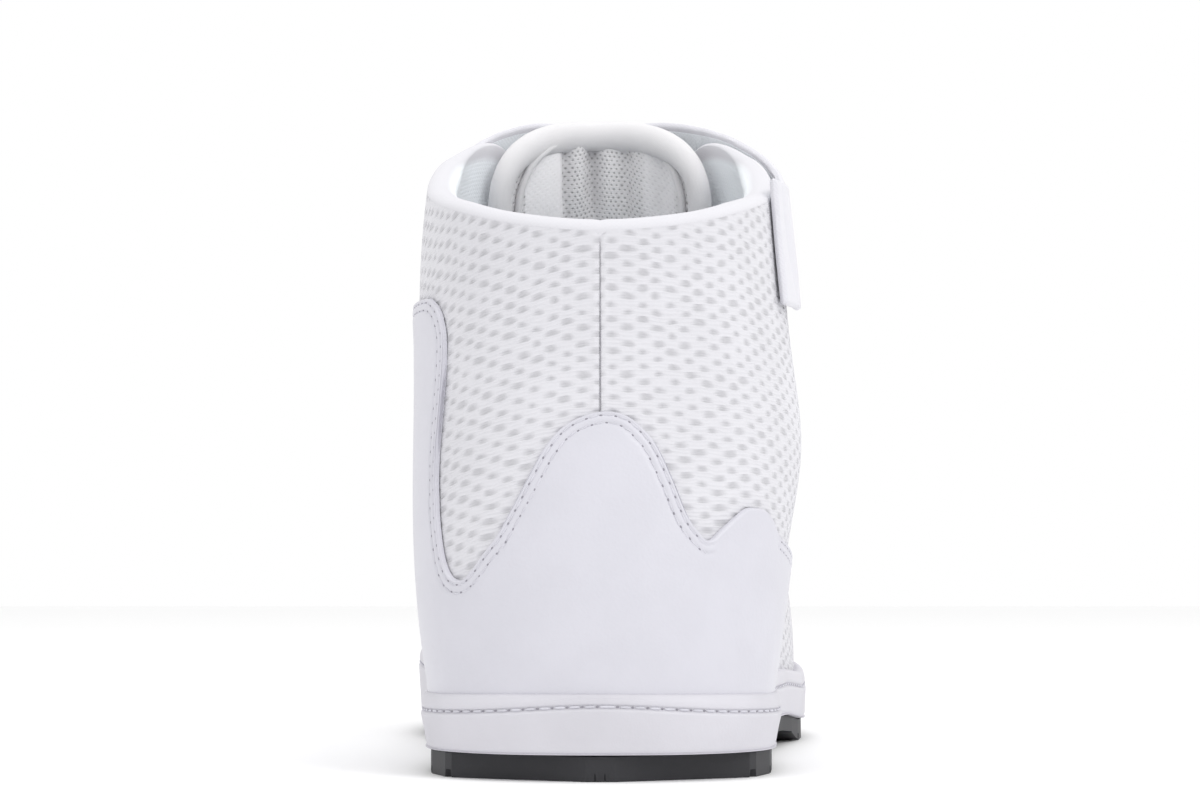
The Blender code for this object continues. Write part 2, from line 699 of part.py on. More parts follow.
def taut_radius(turn, centre, share):
    """How far one line of the strap runs from the ankle's middle: pulled taut round the upper and the tongue."""
    station, level = np.meshgrid(np.linspace(1, AROUND - 1, 200), np.linspace(0.5, 1, 60))
    stay = smooth_step(np.minimum(station, AROUND - station), CORNER, CORNER + 0.4)
    shell = offset_form(station, level, (OVERLAY_THICKNESS + SEWN_GAP) * stay)
    tongue = np.concatenate(tongue_grids(40)[0])
    points = np.concatenate([shell.reshape(-1, 3), tongue])
    points[:, 1] -= centre
    angle = np.arctan2(points[:, 0], points[:, 1])
    height = strap_height(angle) + share * STRAP_WIDTH
    reached = STRAP_WIDTH * (0.17 + 0.25 * smooth_step(angle, math.radians(75), math.radians(105)))
    points = points[np.abs(points[:, 2] - height) < reached]
    facing = np.radians(np.linspace(-180, 180, 241))
    reach = np.max(np.outer(np.sin(facing), points[:, 0]) + np.outer(np.cos(facing), points[:, 1]), axis=1)
    near = np.radians(np.linspace(-2.6, 2.6, 5))[:, None]
    ray = np.cos(turn + near - facing[:, None, None])
    hull = np.min(np.where(ray > 0.2, (reach + GAP)[:, None, None] / np.maximum(ray, 0.2), np.inf), axis=0)
    return hull.max(axis=0) + GAP


def strap_line(turn, share):
    """A line along the strap's inner face. share is -0.5 at its lower edge and 0.5 at its upper edge."""
    centre = COLLAR_DEPTH * 0.53
    lift = STRAP_LIFT * smooth_step(turn, math.radians(68), STRAP_FREE_END)
    radius = taut_radius(turn, centre, share) + lift
    height = strap_height(turn) + share * STRAP_WIDTH
    return np.stack([radius * np.sin(turn), centre + radius * np.cos(turn), height], 1)


def add_strap(material, parent):
    turn = np.linspace(STRAP_START, STRAP_FREE_END, 29)
    outer, inner = [], []
    for share in np.linspace(-0.5, 0.5, 3):
        line = strap_line(turn, share)
        outward = np.stack([-np.gradient(line[:, 1]), np.gradient(line[:, 0]), np.zeros(len(turn))], 1)
        outward /= np.linalg.norm(outward, axis=1, keepdims=True)
        inner.append(line)
        outer.append(line + outward * STRAP_THICKNESS)
    return add_object("strap", patch_solid(inner, outer), material, parent)


def add_lace(name, right, left, material, parent):
    """One run of the lace across the tongue, from above one eyelet to above the eyelet facing it."""
    up = right[1] + left[1]
    up /= np.linalg.norm(up)
    tilt = math.sqrt(1 - min(1.0, float(up @ right[1])) ** 2)
    lift = EYELET_THICKNESS + GAP + EYELET_HOLE * tilt
    ends = [right[0] + up * lift, left[0] + up * lift]
    ahead = right[2] + left[2]
    ahead /= np.linalg.norm(ahead)
    outer, inner = [], []
    for share in (-0.5, 0.5):
        row = []
        for step in np.linspace(0.92, -0.92, 7):
            middle = (ends[0] + ends[1]) / 2 + (ends[0] - ends[1]) / 2 * step
            row.append(middle + up * LACE_RISE * (1 - step ** 2) + ahead * share * LACE_WIDTH)
        inner.append(np.array(row))
        outer.append(np.array(row) + up * LACE_THICKNESS)
    return add_object(name, patch_solid(inner, outer), material, parent)


def centre_on_floor(parent):
    """Moves the whole shoe so that the middle of its outline on the floor is the origin."""
    points = np.array([vertex.co for piece in parent.children for vertex in piece.data.vertices])
    middle = (points.min(axis=0) + points.max(axis=0)) / 2
    parent.location = (-middle[0], -middle[1], -points[:, 2].min())


def main():
    for leftover in list(bpy.data.objects):
        bpy.data.objects.remove(leftover, do_unlink=True)
    shoe = bpy.data.objects.new("shoe", None)
    bpy.context.scene.collection.objects.link(shoe)
    mesh_white = new_material("white_mesh", (0.86, 0.86, 0.88), 0.85)
    leather_white = new_material("white_leather", (0.88, 0.88, 0.90), 0.45)
    lining_white = new_material("white_lining", (0.80, 0.83, 0.86), 0.90)
    rubber_white = new_material("white_rubber", (0.87, 0.87, 0.87), 0.55)
    rubber_black = new_material("black_rubber", (0.02, 0.02, 0.025), 0.60)
    webbing_white = new_material("white_webbing", (0.85, 0.85, 0.87), 0.75)
    add_upper(mesh_white, shoe)
    add_heel_wrap(leather_white, shoe)
    add_toe_cap(leather_white, shoe)
    add_eyestay("eyestay_outer", 1, leather_white, shoe)
    add_eyestay("eyestay_inner", -1, leather_white, shoe)
    add_tongue(lining_white, shoe)
    add_cupsole(rubber_white, shoe)
    add_outsole(rubber_black, shoe)
    add_insole(lining_white, shoe)
    add_strap(webbing_white, shoe)
    rows = zip(zip(*eyelet_places(1)), zip(*eyelet_places(-1)))
    for index, (right, left) in enumerate(rows, 1):
        add_eyelet(f"eyelet_outer_{index}", *right, rubber_white, shoe)
        add_eyelet(f"eyelet_inner_{index}", *left, rubber_white, shoe)
        add_lace(f"lace_{index}", right, left, webbing_white, shoe)
    centre_on_floor(shoe)


main()
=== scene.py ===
"""Looks of a high-top wrestling shoe for the right foot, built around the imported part.

Every surface of the upper is read from one form, at a station around the foot and a level up its section.
Station 0 is the heel seam, TOE is the tip of the toe, and the inner side has negative stations.
"""
import math
from collections import namedtuple
from functools import partial

import bpy
import numpy as np
from mathutils import Matrix, Vector


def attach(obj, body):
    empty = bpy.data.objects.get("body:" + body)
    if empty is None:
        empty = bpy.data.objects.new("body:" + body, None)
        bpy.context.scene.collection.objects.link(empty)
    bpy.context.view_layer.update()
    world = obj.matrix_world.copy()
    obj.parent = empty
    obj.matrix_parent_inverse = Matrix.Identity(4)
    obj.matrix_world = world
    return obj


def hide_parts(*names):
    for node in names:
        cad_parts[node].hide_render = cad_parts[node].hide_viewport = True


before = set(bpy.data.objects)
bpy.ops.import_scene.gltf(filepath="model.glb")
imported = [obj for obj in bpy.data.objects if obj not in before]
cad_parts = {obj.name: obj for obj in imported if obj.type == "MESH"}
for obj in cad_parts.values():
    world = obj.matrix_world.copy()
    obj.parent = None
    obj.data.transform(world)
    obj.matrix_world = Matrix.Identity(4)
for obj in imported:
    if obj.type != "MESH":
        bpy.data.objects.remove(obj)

bl_info = {
    "name": "Wrestling shoe",
    "version": (1, 0, 0),
    "blender": (4, 5, 0),
    "location": "View3D > Sidebar > Shoe",
    "description": "Dresses a high-top wrestling shoe in mesh, leather, padding, laces and a stitched sole",
    "category": "Add Mesh",
}

MM = 0.001

# Where the heel seam meets the floor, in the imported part's frame
HEEL_SEAM = np.array([-2.4596, -140.3578, 0.0]) * MM

# Sizes of the last and the pieces, as in the part's source
UPPER_LENGTH = 282 * MM
BALL_WIDTH = 93 * MM
HEEL_WIDTH = 68 * MM
HEEL_HEIGHT = 110.5 * MM
COLLAR_HEIGHT = 138 * MM
INSTEP_HEIGHT = 91 * MM
VAMP_HEIGHT = 60 * MM
COLLAR_WIDTH = 75 * MM
COLLAR_DEPTH = 96 * MM
THROAT_WIDTH = 27 * MM
THROAT_END = 192 * MM
UPPER_WALL = 2.0 * MM
COLLAR_PADDING = 4.5 * MM
OUTSOLE_THICKNESS = 5.0 * MM
BED_THICKNESS = 4.0 * MM
FOXING_WALL = 2.8 * MM
FOXING_HEIGHT = 17.5 * MM
STITCH_GROOVE_DROP = 3.6 * MM
INSOLE_THICKNESS = 3.0 * MM
TOE_SPRING = 8.0 * MM
ARCH_RISE = 2.2 * MM
TONGUE_TOP = 145 * MM
TONGUE_WIDTH = 51 * MM
TONGUE_THICKNESS = 4.2 * MM
STRAP_WIDTH = 27 * MM
STRAP_THICKNESS = 1.7 * MM
STRAP_FRONT_HEIGHT = 131.5 * MM
STRAP_END_HEIGHT = 111.5 * MM
STRAP_LIFT = 0.5 * MM
STRAP_START = math.radians(-34)
STRAP_FREE_END = math.radians(114)
SEWN_GAP = 0.7 * MM
EYELETS = 6
EYESTAY_WIDTH = 14 * MM
OVERLAY_THICKNESS = 1.2 * MM
GAP = 0.3 * MM
BED_TOP = OUTSOLE_THICKNESS + GAP + BED_THICKNESS

# Sizes that only the dressed shoe has. The pitches are rough distances between stations.
STATION_PITCH = 26 * MM
HEEL_PITCH = 24 * MM
MESH_THICKNESS = 0.8 * MM
MESH_TOP = 1.002
LEATHER_LIFT = 0.25 * MM
EDGE_ROLL = 0.7 * MM
THREAD_GROOVE_DEPTH = 0.30 * MM
THREAD_GROOVE_WIDTH = 0.32 * MM
LEATHER_RIPPLE = 0.22 * MM
THREAD_SINK = 0.02 * MM
EYELET_RING = 2.6 * MM
EYELET_WIRE = 0.75 * MM
EYELET_INSET = EYESTAY_WIDTH * 0.45
LACE_WIDTH = 5.0 * MM
LACE_THICKNESS = 1.3 * MM
LACE_ARCH = 2.6 * MM
STRAP_RADIUS = 45 * MM
STRAP_TUCK = 1.6 * MM
SMOOTH_ANGLE = math.radians(50)
CAMERA_DISTANCE = 0.650
CAMERA_HEIGHT = 0.042
CAMERA_TILT = math.radians(93)
CAMERA_LENS = 97.5
# How far from a panel's edge its first rows of points lie
PANEL_ROWS = MM * np.array(
    [0, 0.1, 0.25, 0.45, 0.7, 0.95, 1.2, 1.5, 1.85, 2.2, 2.5, 2.8, 3.2, 3.8, 4.6, 5.6, 7.0]
)
# How far inside a panel's edge its rows of stitches run
STITCH_ROWS = (1.0 * MM, 2.6 * MM)
# The stations between which the heel wrap's edge has no stitches
GLUED_EDGE = (1.14, 2.15)
# The stations where the mesh quarters end and where the vamp starts under them
QUARTER_END = 8.6
VAMP_START = 8.5

# The sole's outline from heel to toe: share of the length, half widths and the wall's height on each side
Feather = namedtuple("Feather", "y outer inner foxing_outer foxing_inner")
FEATHER = [Feather(*row) for row in (
    (0.000, 0.000, 0.000, 1.00, 1.00),
    (0.014, 0.275, 0.275, 0.99, 0.99),
    (0.062, 0.455, 0.450, 0.97, 0.97),
    (0.150, 0.505, 0.495, 0.95, 0.96),
    (0.262, 0.480, 0.445, 0.92, 0.98),
    (0.362, 0.462, 0.385, 0.91, 1.03),
    (0.460, 0.478, 0.380, 0.92, 1.10),
    (0.560, 0.512, 0.415, 0.96, 1.17),
    (0.660, 0.526, 0.456, 1.02, 1.23),
    (0.760, 0.498, 0.468, 1.09, 1.27),
    (0.855, 0.408, 0.432, 1.17, 1.29),
    (0.932, 0.270, 0.345, 1.24, 1.31),
    (0.983, 0.105, 0.220, 1.30, 1.32),
    (1.000, -0.065, 0.065, 1.32, 1.32),
)]
TOE = len(FEATHER) - 1
AROUND = 2 * TOE

# The rim from the heel seam over the collar's corner and along the throat
Topline = namedtuple("Topline", "y x height share")
CORNER = 5
TOPLINE = [Topline(*row) for row in (
    (0.050, 0.000, HEEL_HEIGHT, 1.000),
    (0.085, 0.420, HEEL_HEIGHT, 1.013),
    (0.195, 0.770, HEEL_HEIGHT, 1.047),
    (0.450, 0.990, COLLAR_HEIGHT, 0.885),
    (0.780, 0.930, COLLAR_HEIGHT, 0.965),
    (1.000, 0.620, COLLAR_HEIGHT, 1.000),
    (0.155, 1.080, COLLAR_HEIGHT, 0.800),
    (0.395, 1.000, INSTEP_HEIGHT, 1.000),
    (0.660, 0.960, INSTEP_HEIGHT, 0.835),
    (0.850, 0.850, VAMP_HEIGHT, 1.100),
    (0.935, 0.640, VAMP_HEIGHT, 1.045),
    (0.975, 0.420, VAMP_HEIGHT, 1.017),
    (0.994, 0.200, VAMP_HEIGHT, 1.004),
    (1.000, 0.000, VAMP_HEIGHT, 1.000),
)]

# How the upper's section bulges between the sole and the rim, as shares of its height
Handle = namedtuple("Handle", "low_out low_up high_out high_forward high_up")
HANDLE = [Handle(*row) for row in (
    (0.09, 0.34, -0.05, 0.00, -0.27),
    (0.09, 0.34, -0.04, 0.00, -0.27),
    (0.08, 0.34, -0.01, 0.00, -0.27),
    (0.07, 0.34, 0.035, -0.01, -0.29),
    (0.06, 0.34, 0.06, -0.02, -0.29),
    (0.06, 0.34, 0.08, -0.05, -0.25),
    (0.03, 0.38, 0.22, 0.04, -0.12),
    (0.03, 0.42, 0.30, 0.07, -0.07),
    (0.04, 0.50, 0.40, 0.12, -0.02),
    (0.07, 0.56, 0.52, 0.34, -0.02),
    (0.09, 0.60, 0.62, 0.78, -0.06),
    (0.11, 0.62, 0.50, 1.20, -0.10),
    (0.12, 0.62, 0.26, 1.46, -0.12),
    (0.12, 0.62, 0.20, 1.49, -0.12),
)]

# Soft bulges and hollows: the ankle bones, the hollow over the heel and the sides of the foot
Swell = namedtuple("Swell", "station level around up depth")
SWELLS = [Swell(*row) for row in (
    (3.0, 0.50, 1.3, 0.15, 2.6 * MM),
    (AROUND - 3.0, 0.62, 1.2, 0.18, -0.4 * MM),
    (AROUND - 4.4, 0.50, 1.4, 0.34, -3.0 * MM),
    (0.0, 0.70, 1.2, 0.16, -1.6 * MM),
    (AROUND, 0.70, 1.2, 0.16, -1.6 * MM),
    (AROUND - 6.0, 0.25, 1.2, 0.18, -1.4 * MM),
)]

# Upper edges of the sewn panels, with heights as shares of the heel's or the vamp's
EdgePoint = namedtuple("EdgePoint", "station height")
WRAP_EDGE = [EdgePoint(*row) for row in (
    (-5.60, 0.500), (-5.10, 0.660), (-4.40, 0.820), (-3.40, 0.885), (-2.66, 0.897), (-2.40, 0.884),
    (-2.23, 0.850), (-2.13, 0.790), (-2.08, 0.610), (-1.98, 0.505), (-1.88, 0.440), (-1.77, 0.394),
    (-1.64, 0.368), (-1.48, 0.363), (-1.34, 0.382), (-1.20, 0.412), (-1.04, 0.446), (-0.90, 0.495),
    (-0.74, 0.556), (-0.62, 0.598), (-0.46, 0.634), (-0.24, 0.657), (0.03, 0.668), (0.28, 0.662),
    (0.46, 0.641), (0.62, 0.606), (0.76, 0.547), (0.89, 0.480), (1.00, 0.450), (1.12, 0.434),
    (1.30, 0.456), (1.58, 0.489), (1.72, 0.495), (1.90, 0.491), (2.03, 0.474), (2.18, 0.447),
    (2.50, 0.430), (3.10, 0.405), (3.90, 0.365), (4.70, 0.330), (5.60, 0.300),
)]
CAP_EDGE = [EdgePoint(*row) for row in (
    (8.6, 0.42), (9.4, 0.56), (10.2, 0.70), (11.4, 0.79), (13.0, 0.815), (14.6, 0.79),
    (15.8, 0.70), (16.6, 0.56), (17.4, 0.42),
)]

# The tongue from its sewn end up to its rim
TongueRow = namedtuple("TongueRow", "y z half_width fall")
TONGUE = [TongueRow(*row) for row in (
    (1.116, 0.3900, 0.240, 0.06),
    (0.980, 0.3945, 0.300, 0.06),
    (0.850, 0.4386, 0.380, 0.06),
    (0.660, 0.5070, 0.400, 0.08),
    (0.394, 0.6100, 0.420, 0.12),
    (0.150, 0.7550, 0.450, 0.20),
    (0.080, 0.8500, 0.485, 0.28),
    (0.050, 0.9200, 0.480, 0.30),
    (0.038, 0.9680, 0.385, 0.22),
    (0.036, 1.0000, 0.150, 0.06),
)]

# Gathers in the tongue's lining, in millimetres: where across, how wide, and how far out or in
Gather = namedtuple("Gather", "x width depth")
TONGUE_GATHERS = [Gather(*(size * MM for size in row)) for row in (
    (-13.0, 4.6, 1.2),
    (-8.0, 0.9, -1.8),
    (-5.0, 2.0, 1.3),
    (-1.6, 1.3, -2.8),
    (2.2, 2.0, 0.7),
    (6.0, 1.3, -1.3),
    (9.5, 2.4, 0.8),
    (14.5, 1.6, -0.9),
)]

# Creases across the strap: where round the ankle, how far up, how wide and long, how they lean, how deep
Crease = namedtuple("Crease", "turn share width length lean depth")
STRAP_CREASES = [Crease(*row) for row in (
    (math.radians(104), 0.05, 1.3 * MM, 0.42, 0.18, -0.55 * MM),
    (math.radians(98), -0.10, 1.6 * MM, 0.40, 0.10, 0.45 * MM),
    (math.radians(90), 0.22, 1.5 * MM, 0.28, -0.12, -0.45 * MM),
    (math.radians(80), 0.10, 2.2 * MM, 0.36, 0.16, -0.40 * MM),
    (math.radians(66), 0.24, 2.6 * MM, 0.30, 0.10, 0.35 * MM),
    (math.radians(44), 0.18, 2.8 * MM, 0.32, -0.20, -0.35 * MM),
    (math.radians(24), -0.10, 2.6 * MM, 0.36, 0.14, -0.30 * MM),
)]


# The form of the upper


def unit(vectors):
    return vectors / np.linalg.norm(vectors, axis=-1, keepdims=True)


def run_along(line):
    """Distance along a line from its first point to each of its points."""
    return np.append(0, np.cumsum(np.linalg.norm(np.diff(line, axis=0), axis=1)))


def read_along(at, run, rows):
    return np.stack([np.interp(at, run, column) for column in rows.T], 1)


def smooth_step(value, low, high):
    share = np.clip((np.asarray(value, float) - low) / (high - low), 0, 1)
    return share * share * (3 - 2 * share)


def ground_rise(y):
    share = np.asarray(y, float) / UPPER_LENGTH
    arch = smooth_step(share, 0.27, 0.40) * (1 - smooth_step(share, 0.46, 0.58))
    toe = np.clip((share - 0.76) / 0.24, 0, None)
    return ARCH_RISE * arch + TOE_SPRING * toe ** 1.8


def around(rows, at):
    """Reads a closed smooth line through the rows at float stations."""
    rows = np.asarray(rows, float)
    at = np.asarray(at, float)
    first = np.floor(at).astype(int)
    part = (at - first)[..., None]
    before, start, end, after = (rows[(first + k) % len(rows)] for k in (-1, 0, 1, 2))
    slope_in, slope_out = (end - before) / 2, (after - start) / 2
    return (
        start * (2 * part ** 3 - 3 * part ** 2 + 1)
        + slope_in * (part ** 3 - 2 * part ** 2 + part)
        + end * (3 * part ** 2 - 2 * part ** 3)
        + slope_out * (part ** 3 - part ** 2)
    )


def open_curve(rows, count):
    """Reads a smooth open line through the rows at evenly spread places."""
    rows = np.asarray(rows, float)
    padded = np.vstack([2 * rows[0] - rows[1], rows, 2 * rows[-1] - rows[-2], rows[-1]])
    at = np.linspace(1, len(rows), count)
    at[-1] -= 1e-6
    return around(padded, at)


def both_sides(outer, inner):
    return np.array(list(outer) + list(inner)[TOE - 1:0:-1], float)


def local_width(share):
    return HEEL_WIDTH + (BALL_WIDTH - HEEL_WIDTH) * float(smooth_step(share, 0.15, 0.62))


def feather_rows():
    def side(sign):
        for row in FEATHER:
            share = row.outer if sign > 0 else row.inner
            yield sign * share * local_width(row.y), row.y * UPPER_LENGTH, BED_TOP + 1.6 * GAP
    rows = both_sides(side(1), side(-1))
    rows[:, 2] += ground_rise(rows[:, 1])
    return rows


def topline_rows():
    def side(sign):
        for index, row in enumerate(TOPLINE):
            collar = index <= CORNER
            y = row.y * COLLAR_DEPTH if collar else COLLAR_DEPTH + row.y * (THROAT_END - COLLAR_DEPTH)
            half = COLLAR_WIDTH / 2 if collar else THROAT_WIDTH / 2
            yield sign * row.x * half, y, row.height * row.share
    return both_sides(side(1), side(-1))


FEATHER_ROWS = feather_rows()
TOPLINE_ROWS = topline_rows()
HANDLE_ROWS = both_sides(HANDLE, HANDLE)
FOXING_ROWS = both_sides([(row.foxing_outer,) for row in FEATHER], [(row.foxing_inner,) for row in FEATHER])


def outline_normal(station):
    station, step = np.asarray(station), 0.05
    along = around(FEATHER_ROWS, station + step) - around(FEATHER_ROWS, station - step)
    return unit(np.stack([along[..., 1], -along[..., 0], np.zeros(along.shape[:-1])], -1))


def upper_form(station, level):
    """A point of the upper's outer face, with the heel seam at the origin."""
    station, level = np.broadcast_arrays(np.asarray(station, float), np.asarray(level, float))
    foot, top, shape = (around(rows, station) for rows in (FEATHER_ROWS, TOPLINE_ROWS, HANDLE_ROWS))
    height = (top[..., 2] - foot[..., 2])[..., None]
    out = outline_normal(station)
    up = np.array([0, 0, 1.0])
    ahead = np.array([0, 1.0, 0])
    low = foot + height * (out * shape[..., 0:1] + up * shape[..., 1:2])
    high = top + height * (out * shape[..., 2:3] + ahead * shape[..., 3:4] + up * shape[..., 4:5])
    part = level[..., None]
    rest = 1 - part
    point = rest ** 3 * foot + 3 * rest ** 2 * part * low + 3 * rest * part ** 2 * high + part ** 3 * top
    turned = np.mod(station, AROUND)
    for swell in SWELLS:
        reach = ((turned - swell.station) / swell.around) ** 2 + ((level - swell.level) / swell.up) ** 2
        point = point + out * (swell.depth * np.exp(-reach))[..., None]
    return point


def upper_normal(station, level):
    station, level, step = np.asarray(station), np.asarray(level), 0.01
    along = upper_form(station + step, level) - upper_form(station - step, level)
    rise = upper_form(station, np.clip(level + step, 0, 1)) - upper_form(station, np.clip(level - step, 0, 1))
    return unit(np.cross(along, rise))


def offset_form(station, level, out):
    return upper_form(station, level) + upper_normal(station, level) * np.asarray(out)[..., None]


def level_at_height(station, height):
    low, high = np.zeros(np.shape(station)), np.ones(np.shape(station))
    for _ in range(22):
        middle = (low + high) / 2
        below = upper_form(station, middle)[..., 2] < height
        low, high = np.where(below, middle, low), np.where(below, high, middle)
    return (low + high) / 2


def levels_below(station, top, distances):
    """Levels at these distances below the top level, measured over the form. One row for each distance."""
    share = np.linspace(1, 0, 90)
    levels = top[:, None] * share[None, :]
    grid = upper_form(station[:, None], levels)
    run = np.cumsum(np.linalg.norm(np.diff(grid, axis=1), axis=2), axis=1)
    run = np.hstack([np.zeros((len(station), 1)), run])
    distances = np.broadcast_to(distances, (len(distances), len(station)))
    return np.array([[np.interp(d, run[i], levels[i]) for i, d in enumerate(row)] for row in distances])


def upper_wall(station, level):
    from_heel = np.minimum(np.mod(station, AROUND), AROUND - np.mod(station, AROUND))
    padded = smooth_step(level, 0.62, 0.90) * (1 - smooth_step(from_heel, CORNER - 1.6, CORNER - 0.3))
    return UPPER_WALL + COLLAR_PADDING * padded


def foxing_height(station):
    return FOXING_HEIGHT * around(FOXING_ROWS, station)[..., 0]


def foxing_level(station):
    edge = foxing_height(station) + ground_rise(around(FEATHER_ROWS, station)[..., 1])
    return level_at_height(station, edge)


def sole_ring(station, out, height):
    points = around(FEATHER_ROWS, station) + outline_normal(station) * np.asarray(out)[..., None]
    points[..., 2] = ground_rise(points[..., 1]) + height
    return points


def edge_path(edge, count, share):
    """A smooth panel edge as stations and heights, spread evenly over its length."""
    rows = [(point.station, point.height * share / STATION_PITCH) for point in edge]
    rows = open_curve(rows, 40 * len(edge))
    run = run_along(rows)
    station, height = read_along(np.linspace(0, run[-1], count), run, rows).T
    return np.maximum.accumulate(station + np.arange(count) * 1e-6), height * STATION_PITCH


# Modelling


def select_only(piece):
    bpy.ops.object.select_all(action="DESELECT")
    piece.select_set(True)
    bpy.context.view_layer.objects.active = piece


def shaped_grid(name, points, chart=None):
    """Adds a grid and gives it these points. Its UV map is the chart, or the points' own, in millimetres."""
    chart = arc_chart(points) if chart is None else chart
    rows, columns = points.shape[:2]
    bpy.ops.mesh.primitive_grid_add(x_subdivisions=columns - 1, y_subdivisions=rows - 1, size=1)
    piece = bpy.context.object
    piece.name = piece.data.name = name
    mesh = piece.data
    flat = np.zeros(len(mesh.vertices) * 3)
    mesh.vertices.foreach_get("co", flat)
    along, up = (
        np.rint((flat[axis::3] + 0.5) * (count - 1)).astype(int) for axis, count in enumerate((columns, rows))
    )
    mesh.vertices.foreach_set("co", (points[up, along] + HEEL_SEAM).ravel())
    corner = np.zeros(len(mesh.loops), int)
    mesh.loops.foreach_get("vertex_index", corner)
    mesh.uv_layers.active.data.foreach_set("uv", chart[up, along][corner].ravel())
    mesh.update()
    return piece


def thicken(piece, thickness):
    """Gives a sheet its thickness, inward from its outer face."""
    select_only(piece)
    modifier = piece.modifiers.new("Solidify", "SOLIDIFY")
    modifier.thickness, modifier.offset = thickness, -1
    bpy.ops.object.modifier_apply(modifier=modifier.name)


def close_seam(piece, distance=0.02 * MM, capped=False):
    """Joins a rolled-up grid along its seam. capped also fills its open ends and turns its faces outward."""
    select_only(piece)
    bpy.ops.object.mode_set(mode="EDIT")
    bpy.ops.mesh.select_all(action="SELECT")
    bpy.ops.mesh.remove_doubles(threshold=distance)
    if capped:
        bpy.ops.mesh.select_all(action="DESELECT")
        bpy.ops.mesh.select_non_manifold()
        bpy.ops.mesh.edge_face_add()
        bpy.ops.mesh.select_all(action="SELECT")
        bpy.ops.mesh.normals_make_consistent(inside=False)
    bpy.ops.object.mode_set(mode="OBJECT")


def rolled_piece(name, points, chart=None):
    """A closed body whose grid of points is rolled up, with its ends capped."""
    piece = shaped_grid(name, points, chart)
    close_seam(piece, 0.004 * MM, capped=True)
    return piece


def finish_piece(piece, material, nodes=()):
    """Smooths a piece, gives it its material and ties it to the part."""
    select_only(piece)
    bpy.ops.object.shade_smooth_by_angle(angle=SMOOTH_ANGLE)
    piece.data.materials.append(finish_named(material))
    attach(piece, "root")
    if nodes:
        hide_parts(*nodes)


def arc_chart(points):
    """A chart in millimetres of a grid of points: distance along its middle row, and up each column."""
    run = run_along(points[len(points) // 2])
    rise = np.cumsum(np.linalg.norm(np.diff(points, axis=0), axis=2), axis=0)
    rise = np.vstack([np.zeros((1, points.shape[1])), rise])
    return np.stack([np.broadcast_to(run, rise.shape), rise], -1) / MM


def edge_distance(points, edge):
    """Distance from every point of a grid to the nearest point of an edge."""
    flat = points.reshape(-1, 3)
    nearest = np.full(len(flat), np.inf)
    for start in range(0, len(edge), 60):
        part = edge[start:start + 60]
        gaps = np.linalg.norm(flat[:, None, :] - part[None, :, :], axis=2)
        nearest = np.minimum(nearest, gaps.min(axis=1))
    return nearest.reshape(points.shape[:-1])


def ripple(points, size, seed):
    """A soft unevenness from -1 to 1 that moves slowly over the surface."""
    phase = np.sum(np.array([1.7, 0.6, 2.9]) * seed)
    waves = np.zeros(points.shape[:-1])
    for turn in range(4):
        way = math.cos(turn * 1.9 + seed), math.sin(turn * 2.3 + seed * 2), math.cos(turn * 3.1 - seed)
        waves += np.sin(points @ np.array(way) / size * (1 + 0.37 * turn) + phase * (turn + 1))
    return waves / 4


def rolled_edge(away, width, lift):
    """How far out a panel stands, at these distances from its edge, where the edge is rolled over a width."""
    roll = np.clip(away / width, 0, 1)
    return lift + OVERLAY_THICKNESS * np.sqrt(1 - (1 - roll) ** 2)


def panel(name, station, top, rows, seed=1.0, sewn=1.0):
    """A sewn-on panel with a rolled edge and a groove under each row of stitches, up from the sole's wall.

    sewn is 0 at the stations where the edge is glued and has no stitches.
    """
    levels_near = levels_below(station, top, PANEL_ROWS[:, None])
    share = np.linspace(0, 1, rows - len(PANEL_ROWS) + 1)[1:, None]
    rest = levels_near[-1] + (foxing_level(station) * 0.75 - levels_near[-1]) * share
    levels = np.vstack([levels_near, np.minimum(rest, levels_near[-1])])[::-1]
    stations = np.broadcast_to(station, levels.shape)
    base = upper_form(stations, levels)
    away = edge_distance(base, np.concatenate([base[:, 0], base[-1], base[:, -1]]))
    out = rolled_edge(away, EDGE_ROLL, LEATHER_LIFT)
    for inside in STITCH_ROWS:
        out -= THREAD_GROOVE_DEPTH * sewn * np.exp(-((away - inside) / THREAD_GROOVE_WIDTH) ** 2)
    out += LEATHER_RIPPLE * ripple(base, 11 * MM, seed) * smooth_step(away, 2 * MM, 9 * MM)
    piece = shaped_grid(name, offset_form(stations, levels, out), arc_chart(base))
    thicken(piece, OVERLAY_THICKNESS * 0.6)
    return piece


# Materials


def add_node(tree, kind, values=(), **settings):
    made = tree.nodes.new(f"ShaderNode{kind}")
    for key, value in settings.items():
        setattr(made, key, value)
    for key, value in dict(values).items():
        socket = made.inputs[key]
        if isinstance(value, bpy.types.NodeSocket):
            tree.links.new(value, socket)
        else:
            socket.default_value = value
    return made


def calc(tree, operation, *values):
    return add_node(tree, "Math", dict(enumerate(values)), operation=operation).outputs[0]


def vector_calc(tree, operation, *values):
    return add_node(tree, "VectorMath", dict(enumerate(values)), operation=operation).outputs[0]


def smooth(tree, value, low, high):
    ends = {"Value": value, "From Min": low, "From Max": high}
    return add_node(tree, "MapRange", ends, interpolation_type="SMOOTHSTEP").outputs[0]


def noise(tree, place, scale, detail, output="Fac"):
    return add_node(tree, "TexNoise", {"Vector": place, "Scale": scale, "Detail": detail}).outputs[output]


def parts_of(tree, vector):
    """The first two parts of a vector."""
    return list(add_node(tree, "SeparateXYZ", {0: vector}).outputs)[:2]


